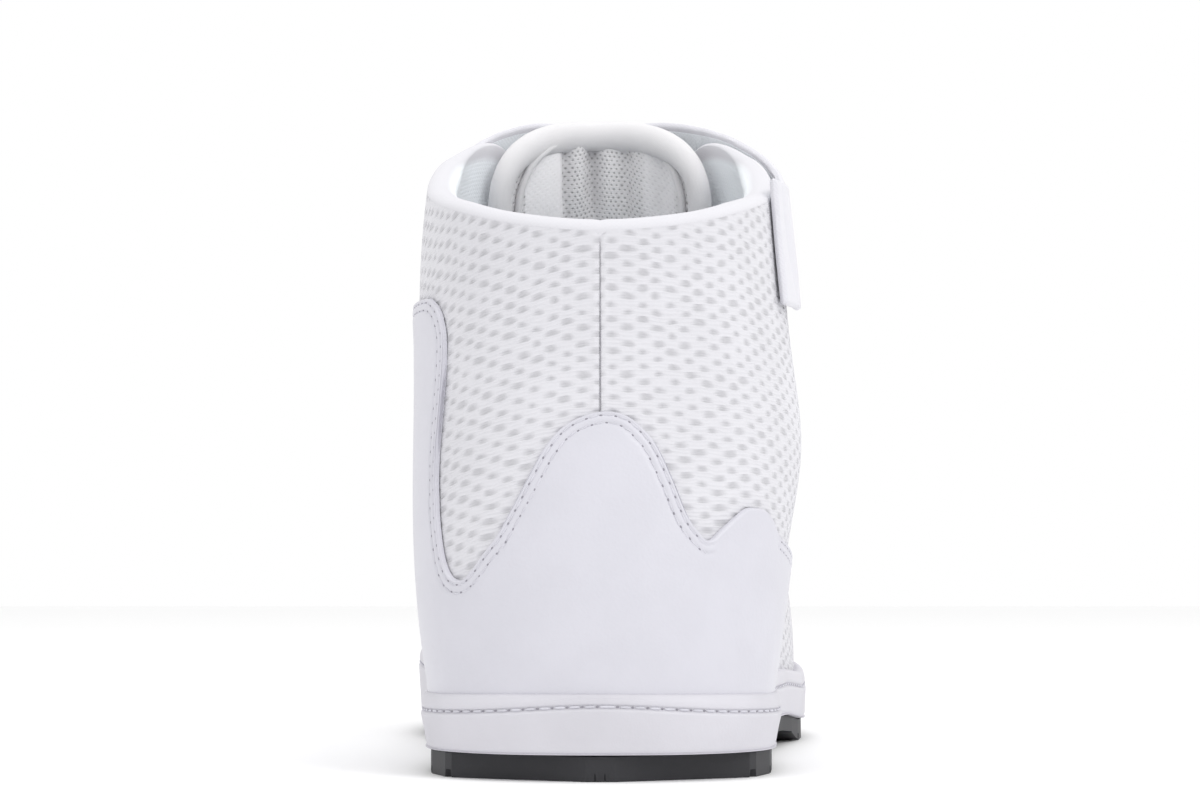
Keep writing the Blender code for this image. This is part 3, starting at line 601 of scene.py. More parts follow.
def new_group(name, inputs, outputs):
    """A node group, its input sockets and its result sockets. An input without a value is a vector."""
    tree = bpy.data.node_groups.new(name, "ShaderNodeTree")
    for label, value in inputs.items():
        kind = "NodeSocketVector" if value is None else "NodeSocketFloat"
        socket = tree.interface.new_socket(label, in_out="INPUT", socket_type=kind)
        if value is not None:
            socket.default_value = value
    for label in outputs:
        tree.interface.new_socket(label, in_out="OUTPUT", socket_type="NodeSocketFloat")
    given, results = tree.nodes.new("NodeGroupInput"), tree.nodes.new("NodeGroupOutput")
    return tree, [given.outputs[label] for label in inputs], results.inputs


def holes_group():
    """Rows of long staggered dimples between fine ribs, as in a knitted mesh, on a chart in millimetres."""
    tree, (chart, pitch, row, length, height, drift), results = new_group(
        "Mesh dimples",
        {"Chart": None, "Pitch": 7.2, "Row": 1.6, "Length": 3.4, "Height": 1.25, "Drift": 1.0},
        ("Hole", "Relief", "Yarn"),
    )
    do = partial(calc, tree)
    shift = vector_calc(tree, "SUBTRACT", noise(tree, chart, 0.16, 2.0, "Color"), (0.5, 0.5, 0.5))
    shift = vector_calc(tree, "MULTIPLY", vector_calc(tree, "MULTIPLY", shift, (3.0, 1.2, 0.0)), drift)
    moved = vector_calc(tree, "ADD", chart, shift)
    across, up = parts_of(tree, moved)
    rows = do("DIVIDE", up, row)
    half = do("MULTIPLY", do("PINGPONG", do("FLOOR", rows), 1.0), 0.5)
    along = do("ADD", do("DIVIDE", across, pitch), half)
    cell = add_node(tree, "CombineXYZ", {0: do("FLOOR", along), 1: do("FLOOR", rows)}).outputs[0]
    chance = add_node(tree, "TexWhiteNoise", {"Vector": cell}, noise_dimensions="2D").outputs["Value"]

    def away(place, step, size):
        """Distance from the middle of a cell, as a share of the dimple's size."""
        distance = do("MULTIPLY", do("SUBTRACT", do("FRACT", place), 0.5), step)
        return do("POWER", do("ABSOLUTE", do("DIVIDE", distance, size)), 1.9)

    reach = do("POWER", do("ADD", away(along, pitch, length), away(rows, row, height)), 0.526)
    reach = do("MULTIPLY_ADD", chance, 0.35, do("MULTIPLY", reach, 2.0))
    threads = noise(tree, vector_calc(tree, "MULTIPLY", moved, (0.22, 1.6, 0.0)), 1.0, 2.0)
    yarn = do("SINE", do("MULTIPLY", up, do("DIVIDE", 4 * math.pi, row)))
    yarn = do("MULTIPLY_ADD", yarn, 0.25, threads)
    relief = do("SUBTRACT", do("MULTIPLY", yarn, 0.26), smooth(tree, reach, 1.5, 0.2))
    # Hole masks the dimples; the materials use it to paint shade into them
    tree.links.new(smooth(tree, reach, 1.25, 0.25), results["Hole"])
    tree.links.new(relief, results["Relief"])
    # Yarn is the ribs' height; the mesh also uses it to paint highlights on the ribs
    tree.links.new(yarn, results["Yarn"])


def weave_group():
    """A plain weave of crossing threads, on a chart in millimetres."""
    tree, (chart, threads, turn), results = new_group(
        "Weave", {"Chart": None, "Threads": 2.0, "Turn": 0.0}, ("Relief", "Shade")
    )
    do = partial(calc, tree)
    turned = add_node(tree, "VectorRotate", {"Vector": chart, "Angle": turn}, rotation_type="Z_AXIS")
    places = [do("MULTIPLY", part, threads) for part in parts_of(tree, turned.outputs[0])]
    across, along = (do("ABSOLUTE", do("SINE", do("MULTIPLY", place, math.pi))) for place in places)
    cell = do("ADD", *(do("FLOOR", place) for place in places))
    over = do("MODULO", do("ABSOLUTE", cell), 2.0)
    top = add_node(tree, "Mix", {0: over, 2: across, 3: along}, data_type="FLOAT").outputs[0]
    tree.links.new(top, results["Relief"])
    # Shade is painted shade: the weave is painted darker where its threads sink between one another
    tree.links.new(smooth(tree, top, 0.0, 0.7), results["Shade"])


def grain_group():
    """Fine grain with soft creases, on Object coordinates."""
    tree, (place, scale, crease), results = new_group(
        "Grain", {"Place": None, "Scale": 900.0, "Crease": 60.0}, ("Relief", "Shade")
    )
    do = partial(calc, tree)
    cells = add_node(tree, "TexVoronoi", {"Vector": place, "Scale": scale}, feature="SMOOTH_F1")
    soft = noise(tree, place, crease, 4.0)
    fine = do("MULTIPLY", noise(tree, place, scale, 3.0), 0.3)
    relief = do("MULTIPLY_ADD", cells.outputs["Distance"], 0.5, fine)
    tree.links.new(do("MULTIPLY_ADD", soft, 1.5, relief), results["Relief"])
    # Shade is painted shade: darker where the soft creases sink, lighter on their tops
    tree.links.new(smooth(tree, soft, 0.35, 0.65), results["Shade"])


def new_material(name, roughness, sheen=0.0, coat=0.0):
    made = bpy.data.materials.new(name)
    made.use_nodes = True
    shader = made.node_tree.nodes["Principled BSDF"]
    for label, value in (
        ("Roughness", roughness),
        ("Sheen Weight", sheen),
        ("Sheen Roughness", 0.5),
        ("Coat Weight", coat),
    ):
        shader.inputs[label].default_value = value
    return made, made.node_tree, shader


def chart_of(tree):
    return add_node(tree, "UVMap", uv_map="UVMap").outputs[0]


def place_of(tree):
    return add_node(tree, "TexCoord").outputs["Object"]


def use_group(tree, group, **values):
    values = {key.title(): value for key, value in values.items()}
    return add_node(tree, "Group", values, node_tree=bpy.data.node_groups[group]).outputs


def mixed(tree, share, low, high):
    return add_node(tree, "Mix", {0: share, 6: low, 7: high}, data_type="RGBA").outputs[2]


def shaded(tree, share, color, dark):
    """A darker shade of the colour where the share is 0, and the colour itself where it is 1."""
    return mixed(tree, share, shade_of(color, dark), shade_of(color, 1))


def shade_of(color, factor):
    return (*(min(1.0, channel * factor) for channel in color[:3]), 1)


def paint(tree, shader, color, height=None, distance=0.0):
    """Gives a material its colour, and its relief from a height and a distance."""
    tree.links.new(color, shader.inputs["Base Color"])
    if distance:
        bump = add_node(tree, "Bump", {"Height": height, "Distance": distance, "Strength": 1.0})
        tree.links.new(bump.outputs[0], shader.inputs["Normal"])


def mesh_material(looks):
    made, tree, shader = new_material("Quarter mesh", 0.8, sheen=0.25)
    size = dict(pitch=looks.hole_pitch, length=looks.hole_length, height=looks.hole_height)
    dimples = use_group(tree, "Mesh dimples", chart=chart_of(tree), **size)
    do = partial(calc, tree)
    # Painted shade: the dimples are painted darker than the mesh colour, for the shade in their hollows
    share = do("MULTIPLY_ADD", dimples["Hole"], -0.72, 0.97)
    # Painted highlight: the raised yarn ribs are painted lighter and the hollows between them darker
    share = do("MULTIPLY_ADD", do("SUBTRACT", dimples["Yarn"], 0.5), 0.22, share)
    share = do("MULTIPLY_ADD", smooth(tree, noise(tree, place_of(tree), 55.0, 2.0), 0.3, 0.7), -0.12, share)
    paint(tree, shader, shaded(tree, share, looks.mesh_color, 0.72), dimples["Relief"], 0.42 * MM)
    return made


def tongue_material(looks):
    """Pinned mesh, with a plain panel on its left and fainter pins on its right. The pins are painted darker,
    as painted shade in the pinholes, and the plain panels are painted lighter, as painted light where the
    light falls on them.
    """
    made, tree, shader = new_material("Tongue lining", 0.85, sheen=0.2)
    size = dict(pitch=1.1, row=0.95, length=0.62, height=0.62, drift=0.3)
    pins = use_group(tree, "Mesh dimples", chart=chart_of(tree), **size)
    across = parts_of(tree, chart_of(tree))[0]
    do = partial(calc, tree)

    def band(low, high, soft):
        begin = smooth(tree, across, low - soft, low + soft)
        return do("MULTIPLY", begin, smooth(tree, across, high + soft, high - soft))

    plain = do("MULTIPLY_ADD", band(10.2, 17.4, 0.9), 0.6, band(-17.4, -8.4, 0.2))
    pinned = do("MULTIPLY_ADD", plain, -0.82, 1.0)
    # Painted shade: the pinholes are painted darker, down to 0.55 of the tongue colour, less so on the plain
    # panels
    share = do("SUBTRACT", 1.0, do("MULTIPLY", pins["Hole"], pinned))
    color = shaded(tree, share, looks.tongue_color, 0.55)
    # Painted light: the plain panels are painted a fifth lighter than the tongue colour, the right one at 0.6
    # of that
    color = mixed(tree, plain, color, shade_of(looks.tongue_color, 1.2))
    height = do("MULTIPLY", pins["Relief"], do("MULTIPLY_ADD", pinned, 0.8, 0.2))
    paint(tree, shader, color, height, 0.2 * MM)
    return made


def collar_material(looks):
    """Knitted lining, with the mesh-coloured edge fabric on its outside up to the top of the roll. The inside
    is painted far lighter than the roll, its own bluish white lifted as painted light against the shade
    inside the collar.
    """
    made, tree, shader = new_material("Collar knit", 0.8, sheen=0.2)
    weave = use_group(tree, "Weave", chart=chart_of(tree), threads=1.5, turn=0.8)
    inside = smooth(tree, parts_of(tree, chart_of(tree))[1], 8.6, 11.0)
    edge = shaded(tree, weave["Shade"], looks.mesh_color, 0.97)
    # Painted light: the inside takes the lifted lining colour, much lighter than the roll's edge fabric
    lining = shaded(tree, weave["Shade"], looks.lining_color, 0.93)
    height = calc(tree, "MULTIPLY", weave["Relief"], calc(tree, "MULTIPLY_ADD", inside, 0.8, 0.2))
    paint(tree, shader, mixed(tree, inside, edge, lining), height, 0.08 * MM)
    return made


Woven = namedtuple("Woven", "color threads turn depth roughness")
Grained = namedtuple("Grained", "color roughness coat scale crease dark depth")


def finish_named(name):
    """One of the shoe's materials, made once. Threads are per millimetre, and turns are in radians."""
    found = bpy.data.materials.get(name)
    if found:
        return found
    looks = bpy.context.scene.shoe_looks
    makers = {"Quarter mesh": mesh_material, "Collar knit": collar_material, "Tongue lining": tongue_material}
    if name in makers:
        return makers[name](looks)
    kind = {
        # Strap lining, used under the strap and on the insole, takes the lining colour lifted as painted
        # light
        "Strap lining": Woven(looks.lining_color, 1.5, 0.8, 0.05 * MM, 0.85),
        "Edge binding": Woven(looks.tongue_color, 3.0, 0.3, 0.03 * MM, 0.6),
        "Strap fabric": Woven(looks.strap_color, 2.6, 0.4, 0.03 * MM, 0.7),
        "Lace weave": Woven(looks.strap_color, 1.6, 0.785, 0.10 * MM, 0.85),
        "Smooth leather": Grained(looks.leather_color, 0.42, 0.08, 1500.0, 90.0, 0.975, 0.05 * MM),
        "Thread": Grained(looks.thread_color, 0.6, 0.0, 3000.0, 300.0, 0.9, 0.0),
        # Painted shade: a dark grey for the flat marks that stand for the shade in the needle holes
        "Needle hole shade": Grained((0.30, 0.29, 0.33), 0.9, 0.0, 3000.0, 300.0, 0.9, 0.0),
        "White rubber": Grained(looks.rubber_color, 0.55, 0.0, 2200.0, 40.0, 0.94, 0.04 * MM),
        "Black rubber": Grained((0.018, 0.018, 0.022), 0.6, 0.0, 2200.0, 40.0, 0.94, 0.04 * MM),
        "Eyelet plastic": Grained(looks.leather_color, 0.4, 0.0, 2200.0, 40.0, 0.94, 0.01 * MM),
    }[name]
    if isinstance(kind, Woven):
        made, tree, shader = new_material(name, kind.roughness, sheen=0.3)
        pattern = use_group(tree, "Weave", chart=chart_of(tree), threads=kind.threads, turn=kind.turn)
        dark = 0.88
    else:
        made, tree, shader = new_material(name, kind.roughness, coat=kind.coat)
        pattern = use_group(tree, "Grain", place=place_of(tree), scale=kind.scale, crease=kind.crease)
        dark = kind.dark
    paint(tree, shader, shaded(tree, pattern["Shade"], kind.color, dark), pattern["Relief"], kind.depth)
    return made


def color_setting(name, description, value):
    return bpy.props.FloatVectorProperty(
        name=name, description=description, default=value, subtype="COLOR", size=3, min=0, max=1
    )


def size_setting(name, description, value, least, kind="NONE"):
    return bpy.props.FloatProperty(name=name, description=description, default=value, min=least, unit=kind)


class ShoeLooks(bpy.types.PropertyGroup):
    """Colours and small sizes of the shoe."""

    mesh_color: color_setting("Mesh", "Colour of the mesh quarters", (0.67, 0.665, 0.70))
    leather_color: color_setting("Leather", "Colour of the smooth panels", (0.61, 0.605, 0.66))
    # The lining's own bluish white, lifted near white as painted light against the shade inside the collar
    # and under the strap
    lining_color: color_setting("Lining", "Colour of the collar's lining", (0.93, 0.965, 1.0))
    tongue_color: color_setting("Tongue", "Colour of the tongue's edge and lining", (0.78, 0.77, 0.785))
    strap_color: color_setting("Strap", "Colour of the strap and laces", (0.72, 0.715, 0.76))
    rubber_color: color_setting("Rubber", "Colour of the sole's wall", (0.62, 0.61, 0.655))
    thread_color: color_setting("Thread", "Colour of the stitches", (0.62, 0.615, 0.67))
    hole_pitch: size_setting("Dimple pitch", "Millimetres between dimples in a row", 7.2, 1)
    hole_length: size_setting("Dimple length", "Length of a dimple in millimetres", 3.5, 0.2)
    hole_height: size_setting("Dimple height", "Height of a dimple in millimetres", 1.3, 0.1)
    stitch_step: size_setting("Stitch step", "Distance between needle holes", 3.0 * MM, MM, "LENGTH")
    stitch_width: size_setting("Thread width", "Width of the sewing thread", 0.55 * MM, 0.1 * MM, "LENGTH")


def upper_grid(name, station, top_level, rows, out, droop=0.0):
    """A part of the upper over the given stations, as a mesh sheet with its outer face on the form.

    droop is how steeply the rows of its chart fall away from the heel seam.
    """
    levels = np.broadcast_to(np.linspace(0, 1, rows)[:, None] * top_level, (rows, len(station)))
    stations = np.broadcast_to(station, levels.shape)
    base = upper_form(stations, levels)
    chart = arc_chart(base)
    inner = station[0] < 0
    if inner:
        chart[..., 0] = chart[..., 0].max() - chart[..., 0]
    away = chart[..., 0]
    chart[..., 1] += droop * away ** 2 / (away + 25)
    # The inner side's dimples start farther from the seam than the outer side's
    chart[..., 0] += 3.1 if inner else 0.9
    piece = shaped_grid(name, base + upper_normal(stations, levels) * out, chart)
    thicken(piece, MESH_THICKNESS)
    finish_piece(piece, "Quarter mesh", ["upper"] if name == "quarter_outer" else [])


def seam_fold(station, levels):
    """How far the mesh is pulled in where the two quarters meet at the heel, with a tuck under the rim."""
    away = np.abs(np.mod(station + TOE, AROUND) - TOE) * HEEL_PITCH
    tuck = np.exp(-((1 - levels) / 0.016) ** 2)
    width = 0.34 * MM + 1.3 * MM * tuck
    puff = 0.16 * MM * np.exp(-((away - 1.7 * MM) / (1.0 * MM)) ** 2) * (1 - tuck)
    depth = 0.50 - 0.2 * smooth_step(levels, 0.75, 0.92) + 0.1 * tuck
    return puff - depth * MM * np.exp(-(away / width) ** 2)


class SHOE_OT_quarters(bpy.types.Operator):
    """Models the two mesh quarters, which meet in the heel seam, and the mesh vamp"""

    bl_idname = "shoe.quarters"
    bl_label = "Mesh quarters"

    def execute(self, context):
        rows = 150
        levels = np.linspace(0, 1, rows)[:, None] * MESH_TOP
        # Close columns of points beside the heel seam, and wider ones after them
        near = 0.003 + 0.4 * np.linspace(0, 1, 70) ** 1.5
        along = np.concatenate([near, np.linspace(near[-1], QUARTER_END, 250)[1:]])
        for name, station, droop in (("quarter_outer", along, 0.06), ("quarter_inner", -along[::-1], 0.34)):
            upper_grid(name, station, MESH_TOP, rows, seam_fold(station, levels)[..., None], droop)
        upper_grid("vamp", np.linspace(VAMP_START, AROUND - VAMP_START, 300), 0.99, 90, 0.12 * MM)
        # Needle holes in the heel seam, from just above the heel wrap's peak
        peak = min(WRAP_EDGE, key=lambda point: abs(point.station))
        low = level_at_height(np.array(0.0), peak.height * HEEL_HEIGHT + 1.0 * MM)
        level = np.linspace(low, 0.905, 200)
        line = offset_form(0 * level, level, np.full(200, -0.42 * MM))
        # Dark marks of painted shade in the heel seam's needle holes, from just above the heel wrap's peak
        stitch_runs([even_steps(line, upper_normal(0 * level, level))], "heel_seam", ("holes",))
        return {"FINISHED"}


class SHOE_OT_lining(bpy.types.Operator):
    """Models the padded collar roll and the lining down to the insole"""

    bl_idname = "shoe.lining"
    bl_label = "Collar and lining"

    def execute(self, context):
        station = np.linspace(0, AROUND, AROUND * 16 + 1)
        top = np.ones(len(station))
        wall = upper_wall(station, top)
        pinch = np.exp(-(np.minimum(station, AROUND - station) / 0.055) ** 2)
        rows = []
        # Up behind the edge of the mesh
        for level, out in ((0.965, -0.6), (0.985, -0.4), (0.998, -0.15)):
            rows.append(offset_form(station, level * top, out * MM * top))
        lift = unit(upper_form(station, top) - upper_form(station, top - 0.02))
        sag = ripple(upper_form(station, top), 13 * MM, 3.0)
        # Over the padded roll
        for turn in np.linspace(0.12, math.pi, 22):
            out = 0.20 * MM * math.sin(turn) - wall * (1 - math.cos(turn)) / 2
            rise = (wall * (0.34 + 0.03 * sag) - 0.2 * MM * pinch) * math.sin(turn)
            rows.append(offset_form(station, top, out) + lift * rise[:, None])
        # Down the inside
        for level in np.linspace(0.988, 0.0, 80):
            flat = level * top
            soft = 0.5 * MM * ripple(upper_form(station, flat), 17 * MM, 5.0) * smooth_step(level, 0.5, 0.8)
            rows.append(offset_form(station, flat, soft - upper_wall(station, flat)))
        piece = shaped_grid("collar_lining", np.array(rows))
        close_seam(piece)
        finish_piece(piece, "Collar knit")
        return {"FINISHED"}


def stitch_runs(paths, name, labels=("thread", "holes")):
    """Stitches and needle holes along paths of centres, directions and normals. Each label is one piece. The
    needle holes are small flat dark marks, painted shade in the holes.
    """
    looks = bpy.context.scene.shoe_looks
    step, radius = looks.stitch_step, looks.stitch_width / 2
    bpy.ops.mesh.primitive_uv_sphere_add(segments=8, ring_count=6, radius=1)
    seed = bpy.context.object
    ball = np.array([vertex.co for vertex in seed.data.vertices])
    faces = [list(face.vertices) for face in seed.data.polygons]
    bpy.data.objects.remove(seed)
    long, wide, high = np.sign(ball[:, :1]) * np.abs(ball[:, :1]) ** 0.6, ball[:, 1:2], ball[:, 2:3]
    for label in labels:
        points, polygons = [], []
        for centres, ways, normals in paths:
            for centre, way, normal, side in zip(centres, ways, normals, np.cross(normals, ways)):
                if label == "thread":
                    shape = long * way * step * 0.37 + wide * side * radius + high * normal * radius
                    shape = shape + way * step / 2 - normal * radius * 0.35
                else:
                    # A flat dark mark, painted shade in the needle hole
                    shape = long * way * step * 0.10 + wide * side * radius * 0.75 + high * normal * 0.12 * MM
                polygons += [[corner + len(points) * len(ball) for corner in face] for face in faces]
                points.append(centre + shape)
        mesh = bpy.data.meshes.new(f"{name}_{label}")
        mesh.from_pydata((np.concatenate(points) + HEEL_SEAM).tolist(), [], polygons)
        piece = bpy.data.objects.new(mesh.name, mesh)
        bpy.context.scene.collection.objects.link(piece)
        finish_piece(piece, "Thread" if label == "thread" else "Needle hole shade")


def even_steps(points, normals, closed=False):
    """Places a stitch apart along a dense line of points, with directions and normals."""
    step, run = bpy.context.scene.shoe_looks.stitch_step, run_along(points)
    at = np.arange(step, run[-1] - step, step)
    if closed:
        at = np.linspace(0.5, run[-1] / MM - 0.5, round(run[-1] / step)) * MM
    centres = read_along(at, run, points)
    return centres, unit(read_along(at + 0.4 * MM, run, points) - centres), unit(read_along(at, run, normals))


def edge_line(station, top, inside):
    """The line of stitches that keeps a distance inside a panel's edge, as points and normals."""
    edge, normal = upper_form(station, top), upper_normal(station, top)
    inward = unit(np.cross(unit(np.gradient(edge, axis=0)), normal))
    return edge + inward * inside + normal * (OVERLAY_THICKNESS - THREAD_SINK), normal


class SHOE_OT_heel_wrap(bpy.types.Operator):
    """Models the smooth panel round the heel with its stitches"""

    bl_idname = "shoe.heel_wrap"
    bl_label = "Heel wrap"

    def execute(self, context):
        station, height = edge_path(WRAP_EDGE, 760, HEEL_HEIGHT)
        top = level_at_height(station, height)
        first, last = GLUED_EDGE
        sewn = 1 - smooth_step(station, first, first + 0.05) * (1 - smooth_step(station, last - 0.05, last))
        piece = panel("heel_wrap_leather", station, top, 56, sewn=sewn)
        finish_piece(piece, "Smooth leather", ["heel_wrap"])
        paths = []
        for inside in STITCH_ROWS:
            line, facing = edge_line(station, top, inside)
            paths += [even_steps(line[part], facing[part]) for part in (station < first, station > last)]
        stitch_runs(paths, "heel_wrap")
        return {"FINISHED"}


class SHOE_OT_toe_cap(bpy.types.Operator):
    """Models the smooth toe cap with its stitches"""

    bl_idname = "shoe.toe_cap"
    bl_label = "Toe cap"

    def execute(self, context):
        station, height = edge_path(CAP_EDGE, 360, VAMP_HEIGHT)
        top = level_at_height(station, height)
        piece = panel("toe_cap_leather", station, top, 40, seed=2.0)
        finish_piece(piece, "Smooth leather", ["toe_cap"])
        stitch_runs([even_steps(*edge_line(station, top, inside)) for inside in STITCH_ROWS], "toe_cap")
        return {"FINISHED"}


class SHOE_OT_cupsole(bpy.types.Operator):
    """Models the stitched wall of the sole"""

    bl_idname = "shoe.cupsole"
    bl_label = "Cup sole"

    def execute(self, context):
        station = np.linspace(0, AROUND, AROUND * 24 + 1)
        top = foxing_height(station)
        base = OUTSOLE_THICKNESS + GAP
        wall = GAP + FOXING_WALL
        behind = np.minimum(station, AROUND - station)
        lip = top - STITCH_GROOVE_DROP + 1.1 * MM * np.exp(-(behind / 0.9) ** 2)
        hug = upper_form(station, foxing_level(station)) - around(FEATHER_ROWS, station)
        lean = np.sum(hug * outline_normal(station), axis=1)
        rise = lip - base
        # From the underside to inside the top edge: share of the lean, millimetres out from the wall, height
        section = (
            (0, -15.1, base), (0, -1.2, base), (0, -0.4, base + 0.3 * MM), (0, -0.05, base + 1.0 * MM),
            (0.15, 0, base + rise * 0.3), (0.5, 0, base + rise * 0.6), (0.8, 0, lip - 1.4 * MM),
            (0.9, -0.1, lip - 0.8 * MM), (0.9, -0.5, lip - 0.25 * MM), (0.9, -0.55, lip + 0.25 * MM),
            (0.95, -0.3, lip + 0.7 * MM), (1, -0.35, lip + 1.5 * MM), (1, -0.65, top - 0.9 * MM),
            (1, -1.0, top - 0.35 * MM), (1, -1.5, top - 0.05 * MM), (1, -2.4, top), (1, -4.3, top - 0.8 * MM),
        )
        rows = [sole_ring(station, wall + lean * share + out * MM, height) for share, out, height in section]
        rows = np.array(rows)
        fine = np.array([open_curve(column, 60) for column in rows.transpose(1, 0, 2)]).transpose(1, 0, 2)
        piece = shaped_grid("cupsole_wall", fine)
        close_seam(piece)
        finish_piece(piece, "White rubber", ["cupsole"])
        groove = sole_ring(station, wall + lean * 0.9 - 0.35 * MM, lip)
        stitch_runs([even_steps(groove, outline_normal(station), closed=True)], "cupsole")
        return {"FINISHED"}


def open_grid(name, points, thickness, material, nodes=()):
    """A sheet of this thickness, finished and tied to the part."""
    piece = shaped_grid(name, points)
    thicken(piece, thickness)
    finish_piece(piece, material, nodes)
    return piece


def eyestay_levels(station):
    return levels_below(station, np.full(len(station), 0.99), np.linspace(0, 1, 16)[:, None] * EYESTAY_WIDTH)


class SHOE_OT_eyestays(bpy.types.Operator):
    """Models the strips that carry the eyelets, with their stitches"""

    bl_idname = "shoe.eyestays"
    bl_label = "Eyestays"

    def execute(self, context):
        paths = []
        along = np.linspace(CORNER + 0.35, TOE - 0.04, 220)
        for name, station in (("eyestay_outer", along), ("eyestay_inner", -along[::-1])):
            levels = eyestay_levels(station)[::-1]
            stations = np.broadcast_to(station, levels.shape)
            base = upper_form(stations, levels)
            away = edge_distance(base, np.concatenate([base[0], base[-1], base[:, 0], base[:, -1]]))
            normals = upper_normal(stations, levels)
            points = base + normals * rolled_edge(away, 1.0 * MM, 0.5 * MM)[..., None]
            open_grid(f"{name}_leather", points, 0.7 * MM, "Smooth leather", [name])
            for row in (2, 13):
                paths.append(even_steps(points[row] + normals[row] * THREAD_SINK, normals[row]))
        stitch_runs(paths, "eyestay")
        return {"FINISHED"}


def eyelet_places(side):
    spread = np.linspace(COLLAR_DEPTH * 1.18, THROAT_END - EYELET_INSET, EYELETS)
    stations = np.linspace(CORNER, TOE, 80)
    station = np.interp(spread, around(TOPLINE_ROWS, stations)[:, 1], stations)
    station = station if side > 0 else AROUND - station
    level = levels_below(station, np.ones(len(station)), np.array([[EYELET_INSET]]))[0]
    centre = offset_form(station, level, np.full(len(station), OVERLAY_THICKNESS + 0.5 * MM))
    ahead = unit(upper_form(station + side * 0.05, level) - upper_form(station, level))
    return centre, upper_normal(station, level), ahead


class SHOE_OT_eyelets(bpy.types.Operator):
    """Models the eyelets"""

    bl_idname = "shoe.eyelets"
    bl_label = "Eyelets"

    def execute(self, context):
        squeeze = Matrix.Diagonal((1, 1, 0.55)).to_4x4()
        for label, side in (("outer", 1), ("inner", -1)):
            for index, (centre, normal, ahead) in enumerate(zip(*eyelet_places(side)), 1):
                bpy.ops.mesh.primitive_torus_add(
                    major_segments=32, minor_segments=12, major_radius=EYELET_RING, minor_radius=EYELET_WIRE
                )
                ring = context.object
                ring.name = ring.data.name = f"eyelet_ring_{label}_{index}"
                axes = Matrix((ahead, np.cross(normal, ahead), normal)).transposed().to_4x4()
                place = Matrix.Translation(Vector(centre + HEEL_SEAM + normal * 0.3 * MM))
                ring.data.transform(place @ axes @ squeeze)
                finish_piece(ring, "Eyelet plastic", [f"eyelet_{label}_{index}"])
        return {"FINISHED"}


def evened(line, normal, count, blur):
    """The line and its normals at even steps, with the corners softened."""
    run = run_along(line)
    kernel = np.hanning(blur + 2)[1:-1]
    kernel /= kernel.sum()

    def soften(rows):
        rows = read_along(np.linspace(0, run[-1], count), run, rows)
        ends = np.vstack([rows[:1]] * (blur // 2) + [rows] + [rows[-1:]] * (blur // 2))
        return np.stack([np.convolve(column, kernel, mode="valid") for column in ends.T], 1)

    return soften(line), unit(soften(normal))


def tube(name, line, outward, width, thickness, material, nodes=(), square=1.0):
    """A closed round or flat band along a line. square below 1 makes its section boxier."""
    across = unit(np.cross(unit(np.gradient(line, axis=0)), outward))
    rows = []
    for turn in np.linspace(0, 2 * math.pi, 33):
        x, z = (math.copysign(abs(part) ** square, part) for part in (math.cos(turn), math.sin(turn)))
        rows.append(line + across * (x * width / 2) + outward * (z * thickness / 2))
    finish_piece(rolled_piece(name, np.array(rows)), material, nodes)


def strap_height(turn):
    """Height of the strap's middle line, which is level in front and falls toward both ends."""
    low = np.where(turn < 0, math.radians(70), math.radians(92))
    fall = smooth_step(np.abs(turn), math.radians(15), low)
    return STRAP_FRONT_HEIGHT - (STRAP_FRONT_HEIGHT - STRAP_END_HEIGHT) * fall


def tongue_faces(count, columns):
    """The tongue's front face and back face as grids of points."""
    rows = []
    for row in TONGUE:
        y = COLLAR_DEPTH + row.y * (THROAT_END - COLLAR_DEPTH)
        rows.append((y, row.z * TONGUE_TOP, row.half_width * TONGUE_WIDTH, row.fall * TONGUE_WIDTH))
    sections = open_curve(rows, count)
    across = np.linspace(-1, 1, columns)
    ahead = unit(np.gradient(sections[:, :2], axis=0))
    front, back = [], []
    for (y, z, half, fall), (ahead_y, ahead_z) in zip(sections, ahead):
        for grid, depth in ((front, 0), (back, TONGUE_THICKNESS)):
            drop = fall * across ** 2 + depth * (1 - 0.45 * across ** 4)
            grid.append(np.stack([across * half, y - ahead_z * drop, z + ahead_y * drop], 1))
    return np.array(front), np.array(back)


def taut_radius(turn, centre, share):
    """How far out one line of the strap runs, pulled taut round the upper and the tongue."""
    station, level = np.meshgrid(np.linspace(1, AROUND - 1, 200), np.linspace(0.5, 1, 60))
    stay = smooth_step(np.minimum(station, AROUND - station), CORNER, CORNER + 0.4)
    shell = offset_form(station, level, (OVERLAY_THICKNESS + SEWN_GAP) * stay)
    points = np.concatenate([shell.reshape(-1, 3), tongue_faces(40, 9)[0].reshape(-1, 3)])
    points[:, 1] -= centre
    angle = np.arctan2(points[:, 0], points[:, 1])
    height = strap_height(angle) + share * STRAP_WIDTH
    reached = STRAP_WIDTH * (0.17 + 0.25 * smooth_step(angle, math.radians(75), math.radians(105)))
    points = points[np.abs(points[:, 2] - height) < reached]
    # How far these points reach in each direction gives the line of a band pulled taut round them
    facing = np.radians(np.linspace(-180, 180, 241))
    reach = np.max(np.outer(np.sin(facing), points[:, 0]) + np.outer(np.cos(facing), points[:, 1]), axis=1)
    # The strap is too stiff for a sharp bend, so each place takes the widest radius close by
    near = np.radians(np.linspace(-2.6, 2.6, 5))[:, None]
    ray = np.cos(turn + near - facing[:, None, None])
    hull = np.min(np.where(ray > 0.2, (reach + GAP)[:, None, None] / np.maximum(ray, 0.2), np.inf), axis=0)
    return hull.max(axis=0) + GAP


